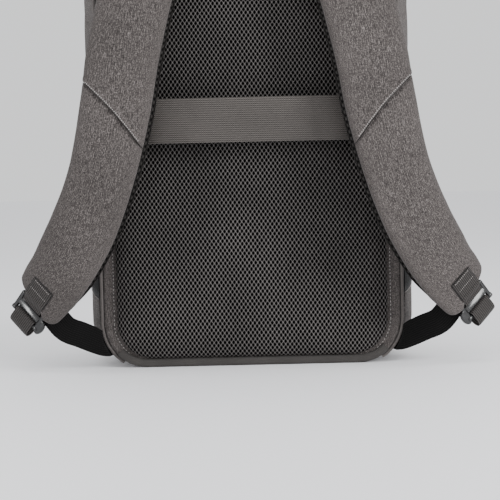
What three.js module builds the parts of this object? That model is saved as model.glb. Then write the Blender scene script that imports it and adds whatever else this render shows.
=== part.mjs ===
// A laptop backpack: a soft box with a padded mesh back, two padded shoulder straps
// and a webbing band that slips over the pull-out handle of a trolley.
// Lengths are millimetres. +Z is up, the padded back faces -Y and the origin is the middle of the base.

import * as THREE from 'three';
import { mergeVertices } from 'three/addons/utils/BufferGeometryUtils.js';

// Body
const bagHeight = 450;
const backWidth = 286;
const backTopRadius = 92;
const backBottomRadius = 42;
const frontWidth = 262;
const frontHeight = 436;
const frontTopRadius = 84;
const frontBottomRadius = 36;
const baseDepth = 150;
const topDepth = 108;
const sideBulge = 20;
const frontCrown = 10;
const crownReach = 70;
const crownRings = [0, 0.11, 0.29, 0.51, 0.77, 1.14];
const wall = 3;
const gap = 0.3;

// Back: a stiff board, a rolled binding along the base and a pad of air mesh
const boardThickness = 4;
const bindingHeight = 7.5;
const bindingThickness = 5;
const padMargin = 13;
const padThickness = 9.5;
const padRim = 1.5;
const padRoll = 22;
const padRings = [0, 0.05, 0.14, 0.32, 0.6, 1, 2.7];
const boardRing = 40;
const padTopRadius = 38;
const padBottomRadius = 34;
const yokeHeight = 34;
const yokeDrop = 12;
const yokeThickness = 3.5;
const yokeWidth = 236;

// Piping and zip
const pipingRadius = 1.6;
const pipingStart = 1.36;
const zipStart = 2.45;
const zipWidth = 11;
const zipThickness = 1.4;
const zipDepthShare = 0.6;
const pullLength = 30;
const pullWidth = 7;
const pullThickness = 2;

// Luggage band
const bandWidth = 42;
const bandThickness = 2;
const bandHeight = 235;
const bandStand = 33;
const bandFlat = 184;
const bandReach = 139;

// Shoulder straps
const strapWidth = 70;
const strapThickness = 12;
const strapStand = 62;
const strapMeshThickness = 2.5;
const strapMeshShift = 2.5;
const strapMeshGap = 0.7;
const seamOuterShare = 0.453;
const seamInnerShare = 0.551;

// Webbing, ladder locks and haul loop
const webWidth = 25;
const webThickness = 1.6;
const patchLength = 35;
const lockWidth = 36;
const lockLength = 22;
const lockThickness = 4;
const lockBar = 4;
const lockOutwards = 8;
const slotWidth = 27.5;
const tailLength = 62;
const seamTuck = 4;
const loopWidth = 92;
const loopHeight = 38;
const loopBand = 18;
const loopThickness = 3;
const loopFoot = 26;

// Side pockets
const pocketMouth = 93;
const pocketRise = 38;
const pocketHem = 28;
const pocketWall = 1.5;
const pocketStand = 6.5;
const pocketMargin = 6;
const pocketSeat = 0.7;
const pocketFoot = 1.62;
const pocketFull = 2.15;

const fabric = { color: 0x6f6764, roughness: 0.95, metalness: 0 };
const darkFabric = { color: 0x2b2928, roughness: 0.95, metalness: 0 };
const airMesh = { color: 0x39383a, roughness: 0.85, metalness: 0 };
const bandWeb = { color: 0x4d4744, roughness: 0.8, metalness: 0 };
const greyWeb = { color: 0x45403e, roughness: 0.8, metalness: 0 };
const blackWeb = { color: 0x1b1a1a, roughness: 0.8, metalness: 0 };
const plastic = { color: 0x3b3c3f, roughness: 0.35, metalness: 0 };

const backPlane = -baseDepth / 2;
const seamBack = backPlane + boardThickness + gap;
const backShape = {
  halfWidth: backWidth / 2, bottom: 0, top: bagHeight,
  bottomRadius: backBottomRadius, topRadius: backTopRadius,
};
const frontShape = {
  halfWidth: frontWidth / 2, bottom: 0, top: frontHeight,
  bottomRadius: frontBottomRadius, topRadius: frontTopRadius,
};

const { lerp: mix, smoothstep } = THREE.MathUtils;
const point = (x, y, z) => new THREE.Vector3(x, y, z);

const bag = new THREE.Group();

function add(name, geometry, look) {
  const mesh = new THREE.Mesh(geometry, new THREE.MeshStandardMaterial(look));
  mesh.name = name;
  bag.add(mesh);
}

// Turns points and faces into a closed body whose faces point out.
function closedBody(points, faces) {
  const normal = new THREE.Vector3();
  const wedge = ([i, j, k]) => normal.crossVectors(points[i], points[j]).dot(points[k]);
  const volume = faces.reduce((sum, face) => sum + wedge(face), 0);
  const order = volume < 0 ? faces.map(([i, j, k]) => [i, k, j]) : faces;
  const geometry = new THREE.BufferGeometry().setFromPoints(points);
  geometry.setIndex(order.flat());
  return mergeVertices(geometry, 1e-4);
}

// An end of a skin: a strip from one half of the section to the other, or a fan round its middle.
function endStrip(section) {
  const count = section.length;
  const faces = [];
  for (let k = 0; k < count / 2 - 1; k++) {
    faces.push([k, k + 1, count - 2 - k], [k, count - 2 - k, count - 1 - k]);
  }
  return { extra: [], faces };
}

function endFan(section) {
  const count = section.length;
  const middle = section.reduce((sum, p) => sum.add(p), point(0, 0, 0)).divideScalar(count);
  return { extra: [middle], faces: section.map((_, k) => [k, (k + 1) % count, count]) };
}

// Skins a row of closed sections and closes both ends.
function skin(sections, closeEnd = endStrip) {
  const count = sections[0].length;
  const points = sections.flat();
  const faces = [];
  for (let row = 0; row < sections.length - 1; row++) {
    const start = row * count;
    for (let k = 0; k < count; k++) {
      const right = (k + 1) % count;
      faces.push([start + k, start + right, start + count + right]);
      faces.push([start + k, start + count + right, start + count + k]);
    }
  }
  [0, sections.length - 1].forEach((row) => {
    const end = closeEnd(sections[row]);
    const place = (k) => (k < count ? row * count + k : points.length + k - count);
    faces.push(...end.faces.map((face) => (row ? face : [...face].reverse()).map(place)));
    points.push(...end.extra);
  });
  return closedBody(points, faces);
}

// A wall between two surfaces, each given as a function of a row tick and a column tick.
function wallBetween(rowTicks, columnTicks, outerAt, innerAt) {
  return skin(rowTicks.map((row) => [
    ...columnTicks.map((column) => outerAt(row, column)),
    ...columnTicks.map((column) => innerAt(row, column)).reverse(),
  ]));
}

// A flat outline drawn out to a thickness, with its corners merged.
function extruded(outline, depth, curveSegments) {
  const geometry = new THREE.ExtrudeGeometry(outline, { depth, curveSegments, bevelEnabled: false });
  geometry.deleteAttribute('uv');
  geometry.deleteAttribute('normal');
  return mergeVertices(geometry, 1e-4);
}

const steps = (start, end, count) => Array.from({ length: count + 1 }, (_, k) => mix(start, end, k / count));

// A rounded upright outline. Its course runs from 0 at the middle of the base, by way of +X, to 9:
// base, corner, side, corner, top, corner, side, corner, base. Returns a point and the way out.
const courseLength = 9;
const courseMiddle = courseLength / 2;
const courseSteps = [2, 8, 10, 8, 4, 8, 10, 8, 2];

function outlineAt(shape, course, inset = 0) {
  const wrapped = ((course % courseLength) + courseLength) % courseLength;
  const side = wrapped > courseMiddle ? -1 : 1;
  const along = side < 0 ? courseLength - wrapped : wrapped;
  const halfWidth = shape.halfWidth - inset;
  const bottom = shape.bottom + inset;
  const top = shape.top - inset;
  const low = Math.max(shape.bottomRadius - inset, 1);
  const high = Math.max(shape.topRadius - inset, 1);
  const quarter = (centreX, centreZ, radius, angle) => ({
    x: centreX + radius * Math.cos(angle), z: centreZ + radius * Math.sin(angle),
    outX: Math.cos(angle), outZ: Math.sin(angle),
  });
  let at;
  if (along <= 1) at = { x: (halfWidth - low) * along, z: bottom, outX: 0, outZ: -1 };
  else if (along <= 2) at = quarter(halfWidth - low, bottom + low, low, (along - 2) * Math.PI / 2);
  else if (along <= 3) at = { x: halfWidth, z: mix(bottom + low, top - high, along - 2), outX: 1, outZ: 0 };
  else if (along <= 4) at = quarter(halfWidth - high, top - high, high, (along - 3) * Math.PI / 2);
  else at = { x: (halfWidth - high) * (courseMiddle - along) * 2, z: top, outX: 0, outZ: 1 };
  return { x: side * at.x, z: at.z, outX: side * at.outX, outZ: at.outZ };
}

function courseTicks(start, end) {
  const ticks = [start];
  for (let stage = Math.floor(start); stage < end; stage++) {
    const count = courseSteps[((stage % courseLength) + courseLength) % courseLength];
    for (let k = 0; k < count; k++) {
      const tick = stage + k / count;
      if (tick > start + 0.02 && tick < end - 0.02) ticks.push(tick);
    }
  }
  return [...ticks, end];
}

// The course at a height on the straight of a side.
const sideSpan = bagHeight - backBottomRadius - backTopRadius;
const courseAtHeight = (height) => 2 + (height - backBottomRadius) / sideSpan;

// Half a gap between two panels that meet in a corner, as a share of that corner's arc.
const cornerTrim = (radius) => gap / (Math.PI * radius);

const frontSeam = (z) => mix(baseDepth / 2, topDepth - baseDepth / 2, z / bagHeight);

// The base is flat, the sides belly out and the top is a little rounded.
function bulgeAt(course) {
  const wrapped = ((course % courseLength) + courseLength) % courseLength;
  const along = Math.min(wrapped, courseLength - wrapped);
  const rise = 0.62 * smoothstep(along, 1, 2) + 0.38 * smoothstep(along, 2, 2.6);
  return sideBulge * (rise - 0.5 * smoothstep(along, 3.2, 4.2));
}

// A point of the body's skin: course runs round the bag, depth from the back seam to the front seam.
function bodyPoint(course, depth, lift) {
  const back = outlineAt(backShape, course);
  const front = outlineAt(frontShape, course);
  const blend = (name) => mix(back[name], front[name], depth);
  const out = new THREE.Vector2(blend('outX'), blend('outZ')).normalize();
  const reach = lift + bulgeAt(course) * 4 * depth * (1 - depth);
  const y = mix(seamBack, frontSeam(front.z), depth);
  return point(blend('x') + out.x * reach, y, blend('z') + out.y * reach);
}

// The gusset's panels meet half way round the lower corners and just above the upper ones.
const bottomEnd = 1.5;
const topStart = 3.125;
const bottomTrim = cornerTrim(backBottomRadius);
const topTrim = cornerTrim(backTopRadius);

function gussetPanel(start, end) {
  return wallBetween(
    courseTicks(start, end), steps(0, 1, 8),
    (course, depth) => bodyPoint(course, depth, 0), (course, depth) => bodyPoint(course, depth, -wall),
  );
}

// A plate inside an outline, built in rings from its edge to its middle.
function plate(shape, insets, frontAt, backAt) {
  const course = courseTicks(0, courseLength).slice(0, -1);
  const ring = (inset, depthAt) => course.map((tick) => {
    const at = outlineAt(shape, tick, inset);
    return point(at.x, depthAt(inset, at.z), at.z);
  });
  return skin([
    ...insets.map((inset) => ring(inset, backAt)).reverse(),
    ...insets.map((inset) => ring(inset, frontAt)),
  ], endFan);
}

const yokeBottom = bagHeight - yokeDrop - yokeHeight;
const padShape = {
  halfWidth: backWidth / 2 - padMargin, bottom: bindingHeight + 1, top: yokeBottom - 1,
  bottomRadius: padBottomRadius, topRadius: padTopRadius,
};
const padBack = backPlane - gap;
const padSwell = (inset) => {
  const rolled = Math.min(inset / padRoll, 1);
  return padRim + (padThickness - padRim) * Math.sqrt(1 - (1 - rolled) ** 2);
};

function addBack() {
  add('back_panel', plate(backShape, [0, boardRing], () => backPlane, () => backPlane + boardThickness), fabric);
  add('back_mesh_pad', plate(
    padShape, padRings.map((share) => share * padRoll),
    (inset) => padBack - padSwell(inset), () => padBack,
  ), airMesh);
  const bindingSection = (tick) => [
    [0, 0], [0, 0.6], [0.25, 1], [0.7, 1], [1, 0.55], [1, 0],
  ].map(([rise, stand]) => {
    const at = outlineAt(backShape, tick, rise * bindingHeight);
    return point(at.x, padBack - stand * bindingThickness, at.z);
  });
  add('base_binding', skin(courseTicks(-bottomEnd, bottomEnd).map(bindingSection)), fabric);
  const yoke = new THREE.BoxGeometry(yokeWidth, yokeThickness, yokeHeight);
  yoke.deleteAttribute('uv');
  yoke.deleteAttribute('normal');
  yoke.translate(0, padBack - yokeThickness / 2, yokeBottom + yokeHeight / 2);
  add('yoke_panel', mergeVertices(yoke), fabric);
}

function addBody() {
  add('bottom_panel', gussetPanel(-bottomEnd + bottomTrim, bottomEnd - bottomTrim), fabric);
  add('top_panel', gussetPanel(topStart + topTrim, courseLength - topStart - topTrim), fabric);
  const sideStart = bottomEnd + bottomTrim;
  const sideEnd = topStart - topTrim;
  add('side_panel_right', gussetPanel(sideStart, sideEnd), fabric);
  add('side_panel_left', gussetPanel(courseLength - sideEnd, courseLength - sideStart), fabric);
  const crown = (inset, z) => frontSeam(z) + gap + frontCrown * smoothstep(inset, 0, crownReach);
  add('front_panel', plate(
    frontShape, crownRings.map((share) => share * crownReach),
    (inset, z) => crown(inset, z) + wall, crown,
  ), fabric);
}

// A round bead in the seam between the gusset and the panel that closes it.
function piping(shape, seamAt) {
  const clear = pipingRadius + gap;
  return skin(courseTicks(pipingStart, courseLength - pipingStart).map((tick) => {
    const at = outlineAt(shape, tick, 0);
    return steps(0, 5, 5).map((k) => {
      const angle = (k + 0.5) * Math.PI / 3;
      const out = clear + pipingRadius * Math.cos(angle);
      const z = at.z + at.outZ * out;
      return point(at.x + at.outX * out, seamAt(at.z) + pipingRadius * Math.sin(angle), z);
    });
  }));
}

function addTrim() {
  add('back_piping', piping(backShape, () => backPlane + pipingRadius), fabric);
  add('front_piping', piping(frontShape, (z) => frontSeam(z) + gap + pipingRadius), fabric);
  const zipShare = zipWidth / baseDepth / 2;
  add('main_zipper', wallBetween(
    courseTicks(zipStart, courseLength - zipStart), [zipDepthShare - zipShare, zipDepthShare + zipShare],
    (course, depth) => bodyPoint(course, depth, gap + 0.2 + zipThickness),
    (course, depth) => bodyPoint(course, depth, gap + 0.2),
  ), darkFabric);
  const pullStand = 2 * gap + 0.4 + zipThickness;
  const pullCourse = (share) => 4.5 + share * pullLength / (backWidth - 2 * backTopRadius);
  const pullShare = pullWidth / baseDepth / 2;
  add('zipper_pull', wallBetween(
    [pullCourse(-0.5), pullCourse(0.5)], [zipDepthShare - pullShare, zipDepthShare + pullShare],
    (course, depth) => bodyPoint(course, depth, pullStand + pullThickness),
    (course, depth) => bodyPoint(course, depth, pullStand),
  ), plastic);
}

// A flat ribbon through rows that each hold a place, in the middle of its thickness, and the way across.
function ribbon(rows, width, thickness) {
  const along = rows.map((row, k) => {
    const before = rows[Math.max(k - 1, 0)].at;
    const after = rows[Math.min(k + 1, rows.length - 1)].at;
    return after.clone().sub(before).normalize();
  });
  return skin(rows.map(({ at, across }, k) => {
    const up = new THREE.Vector3().crossVectors(along[k], across).normalize().multiplyScalar(thickness / 2);
    const half = across.clone().normalize().multiplyScalar(width / 2);
    return [
      at.clone().add(half).add(up), at.clone().sub(half).add(up),
      at.clone().sub(half).sub(up), at.clone().add(half).sub(up),
    ];
  }));
}

function addLuggageBand() {
  const upright = point(0, 0, 1);
  const bandSeat = padBack - bandThickness / 2;
  const stand = bandSeat - bandStand;
  const half = [
    [bandReach, bandSeat], [bandReach - 5, bandSeat - 0.4], [bandReach - 13, bandSeat - 8.5],
    [(bandReach + bandFlat / 2) / 2, mix(bandSeat, stand, 0.6)],
    [bandFlat / 2 + 3, stand + 2], [bandFlat / 2 - 4, stand], [bandFlat / 5, stand - 1.5],
  ];
  const row = (side) => ([x, y]) => ({ at: point(side * x, y, bandHeight), across: upright });
  add('luggage_band', ribbon([
    ...half.map(row(-1)), ...half.map(row(1)).reverse(),
  ], bandWidth, bandThickness), bandWeb);
}

// A shoulder strap from the yoke down to its ladder lock, for the +X side. Rise, spread and stand are
// shares of the bag's height, of half the back's width and of the strap's stand off the back.
const strapRows = [
  { rise: 0.971, spread: 0.580, stand: 0.180, width: 0.97, thickness: 0.50, turn: 4 },
  { rise: 0.936, spread: 0.600, stand: 0.360, width: 0.99, thickness: 0.80, turn: 6 },
  { rise: 0.876, spread: 0.640, stand: 0.613, width: 1.00, thickness: 1.00, turn: 8 },
  { rise: 0.767, spread: 0.731, stand: 0.855, width: 1.00, thickness: 1.00, turn: 11 },
  { rise: 0.655, spread: 0.811, stand: 0.952, width: 1.00, thickness: 1.00, turn: 13 },
  { rise: 0.544, spread: 0.870, stand: 1.000, width: 0.98, thickness: 1.00, turn: 14 },
  { rise: 0.422, spread: 0.960, stand: 1.000, width: 0.93, thickness: 1.00, turn: 16 },
  { rise: 0.311, spread: 1.084, stand: 0.944, width: 0.92, thickness: 1.00, turn: 18 },
  { rise: 0.233, spread: 1.206, stand: 0.839, width: 0.87, thickness: 1.00, turn: 22 },
  { rise: 0.180, spread: 1.308, stand: 0.710, width: 0.80, thickness: 0.85, turn: 26 },
  { rise: 0.141, spread: 1.400, stand: 0.580, width: 0.68, thickness: 0.45, turn: 30 },
];
const strapCurve = new THREE.CatmullRomCurve3(strapRows.map(({ rise, spread, stand }) => (
  point(spread * backWidth / 2, backPlane - stand * strapStand, rise * bagHeight)
)), false, 'centripetal');

// The strap's front face at a share of its course: its place, its ways along, across and out, and its size.
function strapFrame(side, share) {
  const course = share * (strapRows.length - 1);
  const row = Math.min(Math.floor(course), strapRows.length - 2);
  const column = (name) => mix(strapRows[row][name], strapRows[row + 1][name], course - row);
  const mirror = point(side, 1, 1);
  const at = strapCurve.getPoint(share).multiply(mirror);
  const along = strapCurve.getTangent(share).multiply(mirror);
  const turn = THREE.MathUtils.degToRad(column('turn'));
  const across = new THREE.Vector3().crossVectors(along, point(side * Math.sin(turn), -Math.cos(turn), 0));
  across.normalize().multiplyScalar(side * Math.sign(across.x));
  const out = new THREE.Vector3().crossVectors(across, along).multiplyScalar(-side).normalize();
  const width = column('width') * strapWidth;
  const thickness = column('thickness') * strapThickness;
  return { at, along, across, out, width, thickness };
}

const strapPoint = (frame, a, out) => (
  frame.at.clone().addScaledVector(frame.across, a).addScaledVector(frame.out, out)
);

// The foam strap's section: shares of its width and of its thickness below the front face.
const strapSection = [
  [-0.5, -0.5], [-0.47, -0.18], [-0.38, -0.03], [-0.15, 0.06], [0.15, 0.06], [0.38, -0.03],
  [0.47, -0.18], [0.5, -0.5], [0.46, -0.88], [0.36, -1], [-0.36, -1], [-0.46, -0.88],
];

// Each half of the strap stops at the slanting seam, which is lower at the inner edge.
const strapLength = strapCurve.getLength();
const seamShare = (a) => mix(seamInnerShare, seamOuterShare, a + 0.5);
const seamGap = gap / strapLength;

function strapHalf(side, startAt, endAt, count) {
  return skin(steps(0, 1, count).map((share) => strapSection.map(([a, out]) => {
    const frame = strapFrame(side, mix(startAt(a), endAt(a), share));
    return strapPoint(frame, a * frame.width, out * frame.thickness);
  })));
}

// Air mesh under the strap, set a little towards the neck so that its edge shows there.
function strapMesh(side) {
  const section = [[-0.5, 0], [0.46, 0], [0.42, -1], [-0.46, -1]];
  return skin(steps(0.12, 0.92, 22).map((share) => {
    const frame = strapFrame(side, share);
    return section.map(([a, out]) => strapPoint(
      frame, a * frame.width - strapMeshShift, -frame.thickness - strapMeshGap + out * strapMeshThickness,
    ));
  }));
}

// The ladder lock lies just past the strap's end. Places in it are across, beyond its middle, and out.
const lockDrop = lockThickness / 2 + 1.5;

function lockFrame(side) {
  const end = strapFrame(side, 1);
  const middle = strapPoint(end, lockOutwards, -lockDrop).addScaledVector(end.along, gap + 1.2 + lockLength / 2);
  const place = (a, beyond, out) => middle.clone()
    .addScaledVector(end.across, a).addScaledVector(end.along, beyond).addScaledVector(end.out, out);
  return { ...end, middle, place };
}

function ladderLock(side) {
  const lock = lockFrame(side);
  const halfWidth = lockWidth / 2;
  const halfLength = lockLength / 2;
  const round = 4;
  const outline = new THREE.Shape();
  outline.moveTo(-halfWidth + round, -halfLength);
  outline.lineTo(halfWidth - round, -halfLength);
  outline.absarc(halfWidth - round, -halfLength + round, round, -Math.PI / 2, 0);
  outline.absarc(halfWidth - round, halfLength - round, round, 0, Math.PI / 2);
  outline.absarc(-halfWidth + round, halfLength - round, round, Math.PI / 2, Math.PI);
  outline.absarc(-halfWidth + round, -halfLength + round, round, Math.PI, Math.PI * 1.5);
  const slot = (halfLength - 1.5 * lockBar);
  [-halfLength + lockBar, lockBar / 2].forEach((low) => {
    const hole = new THREE.Path();
    hole.moveTo(-slotWidth / 2, low);
    hole.lineTo(-slotWidth / 2, low + slot);
    hole.lineTo(slotWidth / 2, low + slot);
    hole.lineTo(slotWidth / 2, low);
    hole.closePath();
    outline.holes.push(hole);
  });
  const geometry = extruded(outline, lockThickness, 4);
  geometry.translate(0, 0, -lockThickness / 2);
  const across = lock.across.clone().multiplyScalar(-side);
  geometry.applyMatrix4(new THREE.Matrix4().makeBasis(across, lock.along, lock.out).setPosition(lock.middle));
  return geometry;
}

// Webbing sewn on the strap, which runs over the lock's first bar and back through its slot.
function strapPatch(side) {
  const lock = lockFrame(side);
  const stand = gap + webThickness / 2 + 0.06 * strapThickness;
  const bar = -lockLength / 2 + lockBar;
  const over = lockThickness / 2 + gap + webThickness / 2;
  const onStrap = steps(1 - patchLength / strapLength, 1, 4).map((share) => {
    const frame = strapFrame(side, share);
    return { at: strapPoint(frame, lockOutwards, stand), across: lock.across };
  });
  const roundBar = [
    [bar - 2, over], [bar + 1.4, over - 0.2], [bar + 2.4, 1.2],
    [bar + 2.4, -1.2], [bar + 1.4, 0.2 - over], [bar - 2, -over],
  ];
  return ribbon([
    ...onStrap, ...roundBar.map(([beyond, out]) => ({ at: lock.place(0, beyond, out), across: lock.across })),
  ], webWidth, webThickness);
}

// Two layers of webbing pass under the lock: the free end next to it, and the bight's lower leg.
const layer = webThickness + gap + 0.3;
const freeLayer = -lockThickness / 2 - 2 * gap - 1.5 * webThickness - 0.4;
const bightLayer = freeLayer - layer;
const runLayer = bightLayer - layer;

// The mirror image of a body, across the middle of the bag.
function mirrored(geometry) {
  const image = geometry.clone().scale(-1, 1, 1);
  const order = image.getIndex();
  for (let corner = 0; corner < order.count; corner += 3) {
    const second = order.getX(corner + 1);
    order.setX(corner + 1, order.getX(corner + 2));
    order.setX(corner + 2, second);
  }
  return image;
}

// The adjuster, built for the -X side, runs from the seam at the bag's lower corner to a flat fold
// behind the lock.
const webCourse = 1.72;

function adjusterWebbing() {
  const side = -1;
  const lock = lockFrame(side);
  const course = courseLength - webCourse;
  const seat = gap + webThickness / 2;
  const overPiping = 2 * pipingRadius + gap + seat + 0.3;
  const seamAcross = point(side * 0.51, 0, 0.86);
  const tuck = [seamTuck, 1].map((reach) => (
    { at: bodyPoint(course, reach / baseDepth, seat + 0.4), across: seamAcross }
  ));
  const seam = bodyPoint(course, 0, overPiping);
  const fromSeam = (x, y, z) => seam.clone().add(point(side * x, y, z));
  const free = [
    { at: fromSeam(0, -1, 0), across: seamAcross },
    { at: fromSeam(0.5, -5, 0.5), across: point(side * 0.4, 0, 0.9) },
    { at: fromSeam(7, -12, 5), across: point(side * 0.15, 0, 0.98) },
    { at: fromSeam(20, -20.5, 9), across: point(side * -0.15, 0, 0.98) },
    { at: fromSeam(34, -27, 15), across: point(side * -0.3, 0, 0.95) },
  ];
  const level = lock.across.clone().multiplyScalar(0.77).addScaledVector(lock.along, 0.64);
  const foldAcross = new THREE.Vector3().crossVectors(lock.out, level).multiplyScalar(side);
  const fold = [[-10.8, -9], [0, 0]].map(([a, beyond]) => (
    { at: lock.place(a, beyond, runLayer), across: foldAcross }
  ));
  return ribbon([...tuck, ...free, ...fold], webWidth, webThickness);
}

// The same webbing past the fold: a bight round the lock's far end, over its bar and through
// its slot, and the free end that lies up the back of the strap.
function adjusterTail() {
  const side = -1;
  const lock = lockFrame(side);
  const over = lockThickness / 2 + gap + webThickness / 2;
  const end = lockLength / 2;
  const slot = end - lockBar - 2.4;
  const inLock = [
    [-end + 4, bightLayer], [end - 2, bightLayer], [end + 5, bightLayer + 0.4], [end + 9.5, bightLayer + 2.6],
    [end + 11, bightLayer + 5.5], [end + 9.5, over - 1.6], [end + 5, over + 0.5], [end - 1, over + 0.2],
    [slot + 1, over - 0.2], [slot, 1.2], [slot - 0.2, -2], [slot - 2, freeLayer + 0.9],
    [slot - 5, freeLayer], [-end, freeLayer],
  ].map(([beyond, out]) => ({ at: lock.place(0, beyond, out), across: lock.across }));
  const behind = steps(1 - 12 / strapLength, 1 - tailLength / strapLength, 5).map((share, k) => {
    const frame = strapFrame(side, share);
    const below = frame.thickness + strapMeshGap + strapMeshThickness + gap + webThickness / 2;
    return { at: strapPoint(frame, lockOutwards, -below - (k ? 1.2 : 0)), across: frame.across };
  });
  return ribbon([...inLock, ...behind], webWidth, webThickness);
}

// A stretch pocket low on each side, built between two courses that may rise from back to front.
function pocketWallPart(side, lowAt, highAt, rows) {
  const margin = pocketMargin / baseDepth;
  const standAt = (along, depth) => {
    const middle = 1 - Math.abs(2 * depth - 1) ** 3;
    return pocketSeat + pocketStand * smoothstep(along, pocketFoot, pocketFull) * middle;
  };
  const skinAt = (row, depth, lift) => {
    const along = mix(lowAt(depth), highAt(depth), row);
    const course = side > 0 ? along : courseLength - along;
    return bodyPoint(course, depth, standAt(along, depth) + lift);
  };
  return wallBetween(
    steps(0, 1, rows), steps(margin, 1 - margin, 10),
    (row, depth) => skinAt(row, depth, pocketWall), (row, depth) => skinAt(row, depth, 0),
  );
}

function addSide(side, label) {
  const toSeam = (a) => seamShare(a) - seamGap;
  const fromSeam = (a) => seamShare(a) + seamGap;
  const onSide = (geometry) => (side < 0 ? geometry : mirrored(geometry));
  add(`strap_upper_${label}`, strapHalf(side, () => 0, toSeam, 12), fabric);
  add(`strap_lower_${label}`, strapHalf(side, fromSeam, () => 1, 14), fabric);
  add(`strap_mesh_${label}`, strapMesh(side), airMesh);
  add(`strap_patch_${label}`, strapPatch(side), greyWeb);
  add(`ladder_lock_${label}`, ladderLock(side), plastic);
  add(`adjuster_webbing_${label}`, onSide(adjusterWebbing()), blackWeb);
  add(`adjuster_tail_${label}`, onSide(adjusterTail()), blackWeb);
  const rimAt = (drop) => (depth) => courseAtHeight(pocketMouth - drop + pocketRise * depth);
  add(`side_pocket_${label}`, pocketWallPart(side, () => pocketFoot, rimAt(pocketHem + gap), 6), fabric);
  add(`pocket_hem_${label}`, pocketWallPart(side, rimAt(pocketHem), rimAt(0), 3), darkFabric);
}

// Two webbing legs and a rounded top, lying flat against the yoke.
function haulLoop() {
  const half = loopWidth / 2;
  const inner = half - loopBand;
  const straight = loopFoot + loopHeight - half;
  const outline = new THREE.Shape();
  outline.moveTo(half, 0);
  outline.lineTo(half, straight);
  outline.absarc(0, straight, half, 0, Math.PI);
  outline.lineTo(-half, 0);
  outline.lineTo(-inner, 0);
  outline.lineTo(-inner, straight);
  outline.absarc(0, straight, inner, Math.PI, 0, true);
  outline.lineTo(inner, 0);
  outline.closePath();
  const geometry = extruded(outline, loopThickness, 10);
  geometry.rotateX(Math.PI / 2);
  return geometry.translate(0, padBack - yokeThickness - gap, bagHeight - loopFoot);
}

addBack();
addBody();
addTrim();
addLuggageBand();
add('haul_loop', haulLoop(), greyWeb);
addSide(-1, 'left');
addSide(1, 'right');

export default bag;
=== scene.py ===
# A laptop backpack seen from its padded back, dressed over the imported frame.
# Lengths in the dictionaries are millimetres; meshes are placed in metres.
import bisect
import math

import bmesh
import bpy
from mathutils import Matrix, Vector, noise


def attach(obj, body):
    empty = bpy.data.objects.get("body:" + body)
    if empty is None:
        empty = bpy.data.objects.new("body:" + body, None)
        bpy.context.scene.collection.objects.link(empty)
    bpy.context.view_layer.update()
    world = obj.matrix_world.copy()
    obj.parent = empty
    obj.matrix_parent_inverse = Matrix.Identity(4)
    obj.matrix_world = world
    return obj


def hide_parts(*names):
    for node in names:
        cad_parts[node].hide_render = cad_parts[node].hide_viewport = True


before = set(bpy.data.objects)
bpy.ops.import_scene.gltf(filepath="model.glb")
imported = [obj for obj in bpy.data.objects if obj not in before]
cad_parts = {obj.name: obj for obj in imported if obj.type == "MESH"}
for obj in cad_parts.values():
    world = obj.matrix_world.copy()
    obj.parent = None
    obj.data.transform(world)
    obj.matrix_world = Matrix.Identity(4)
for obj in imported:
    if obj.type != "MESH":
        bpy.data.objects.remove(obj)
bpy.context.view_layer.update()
mm = 0.001
sides = ((-1, "left"), (1, "right"))


def mix(a, b, share):
    return a + (b - a) * share


def smoothStep(value, low, high):
    share = min(max((value - low) / (high - low), 0), 1)
    return share * share * (3 - 2 * share)


# Camera, floor and light
studio = {
    "eye": (-1, -1588, 190), "tiltDown": 3, "roll": -1.3, "lens": 113.4,
    "floorTone": (0.93, 0.93, 0.955), "worldTone": (0.96, 0.97, 0.98), "worldLight": 1.12,
    "lamps": [
        ("keyLight", (1.9, -1.5, 0.9), (0.8, 1.0), 58), ("fillLight", (-1.81, -1.35, 0.55), (0.4, 0.6), 17),
        ("topLight", (0, -0.6, 2.1), (1.6, 0.9), 12),
    ],
}


def softLight(name, place, target, size, power):
    data = bpy.data.lights.new(name, "AREA")
    data.shape, data.size, data.size_y = "RECTANGLE", size[0], size[1]
    data.energy = power
    lamp = bpy.data.objects.new(name, data)
    lamp.location = place
    lamp.rotation_euler = (Vector(target) - Vector(place)).to_track_quat("-Z", "Y").to_euler()
    bpy.context.collection.objects.link(lamp)


def setStudio():
    data = bpy.data.cameras.new("camera")
    data.lens = studio["lens"]
    data.clip_start, data.clip_end = 0.05, 60
    camera = bpy.data.objects.new("camera", data)
    turned = Matrix.Rotation(math.radians(90 - studio["tiltDown"]), 4, "X")
    turned = turned @ Matrix.Rotation(math.radians(studio["roll"]), 4, "Z")
    camera.matrix_world = Matrix.Translation(Vector(studio["eye"]) * mm) @ turned
    bpy.context.collection.objects.link(camera)
    bpy.context.scene.camera = camera

    world = bpy.data.worlds.new("studio")
    world.use_nodes = True
    background = world.node_tree.nodes["Background"]
    background.inputs["Color"].default_value = (*studio["worldTone"], 1)
    background.inputs["Strength"].default_value = studio["worldLight"]
    bpy.context.scene.world = world

    for name, place, size, power in studio["lamps"]:
        softLight(name, place, (0, 0, 0.2), size, power)

    bm = bmesh.new()
    bmesh.ops.create_circle(bm, cap_ends=True, segments=96, radius=9)
    mesh = bpy.data.meshes.new("studioFloor")
    bm.to_mesh(mesh)
    bm.free()
    floor = bpy.data.objects.new("studioFloor", mesh)
    bpy.context.collection.objects.link(floor)
    material = bpy.data.materials.new("paleFloor")
    material.use_nodes = True
    shader = material.node_tree.nodes["Principled BSDF"]
    shader.inputs["Base Color"].default_value = (*studio["floorTone"], 1)
    shader.inputs["Roughness"].default_value = 0.6
    mesh.materials.append(material)


setStudio()
print("studio ready")


# Finishes
shaderInputs = {
    "rough": "Roughness", "gloss": "Specular IOR Level", "sheen": "Sheen Weight",
    "sheenRough": "Sheen Roughness",
}


def startFinish(name):
    material = bpy.data.materials.new(name)
    material.use_nodes = True
    return material, material.node_tree, material.node_tree.nodes["Principled BSDF"]


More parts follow.
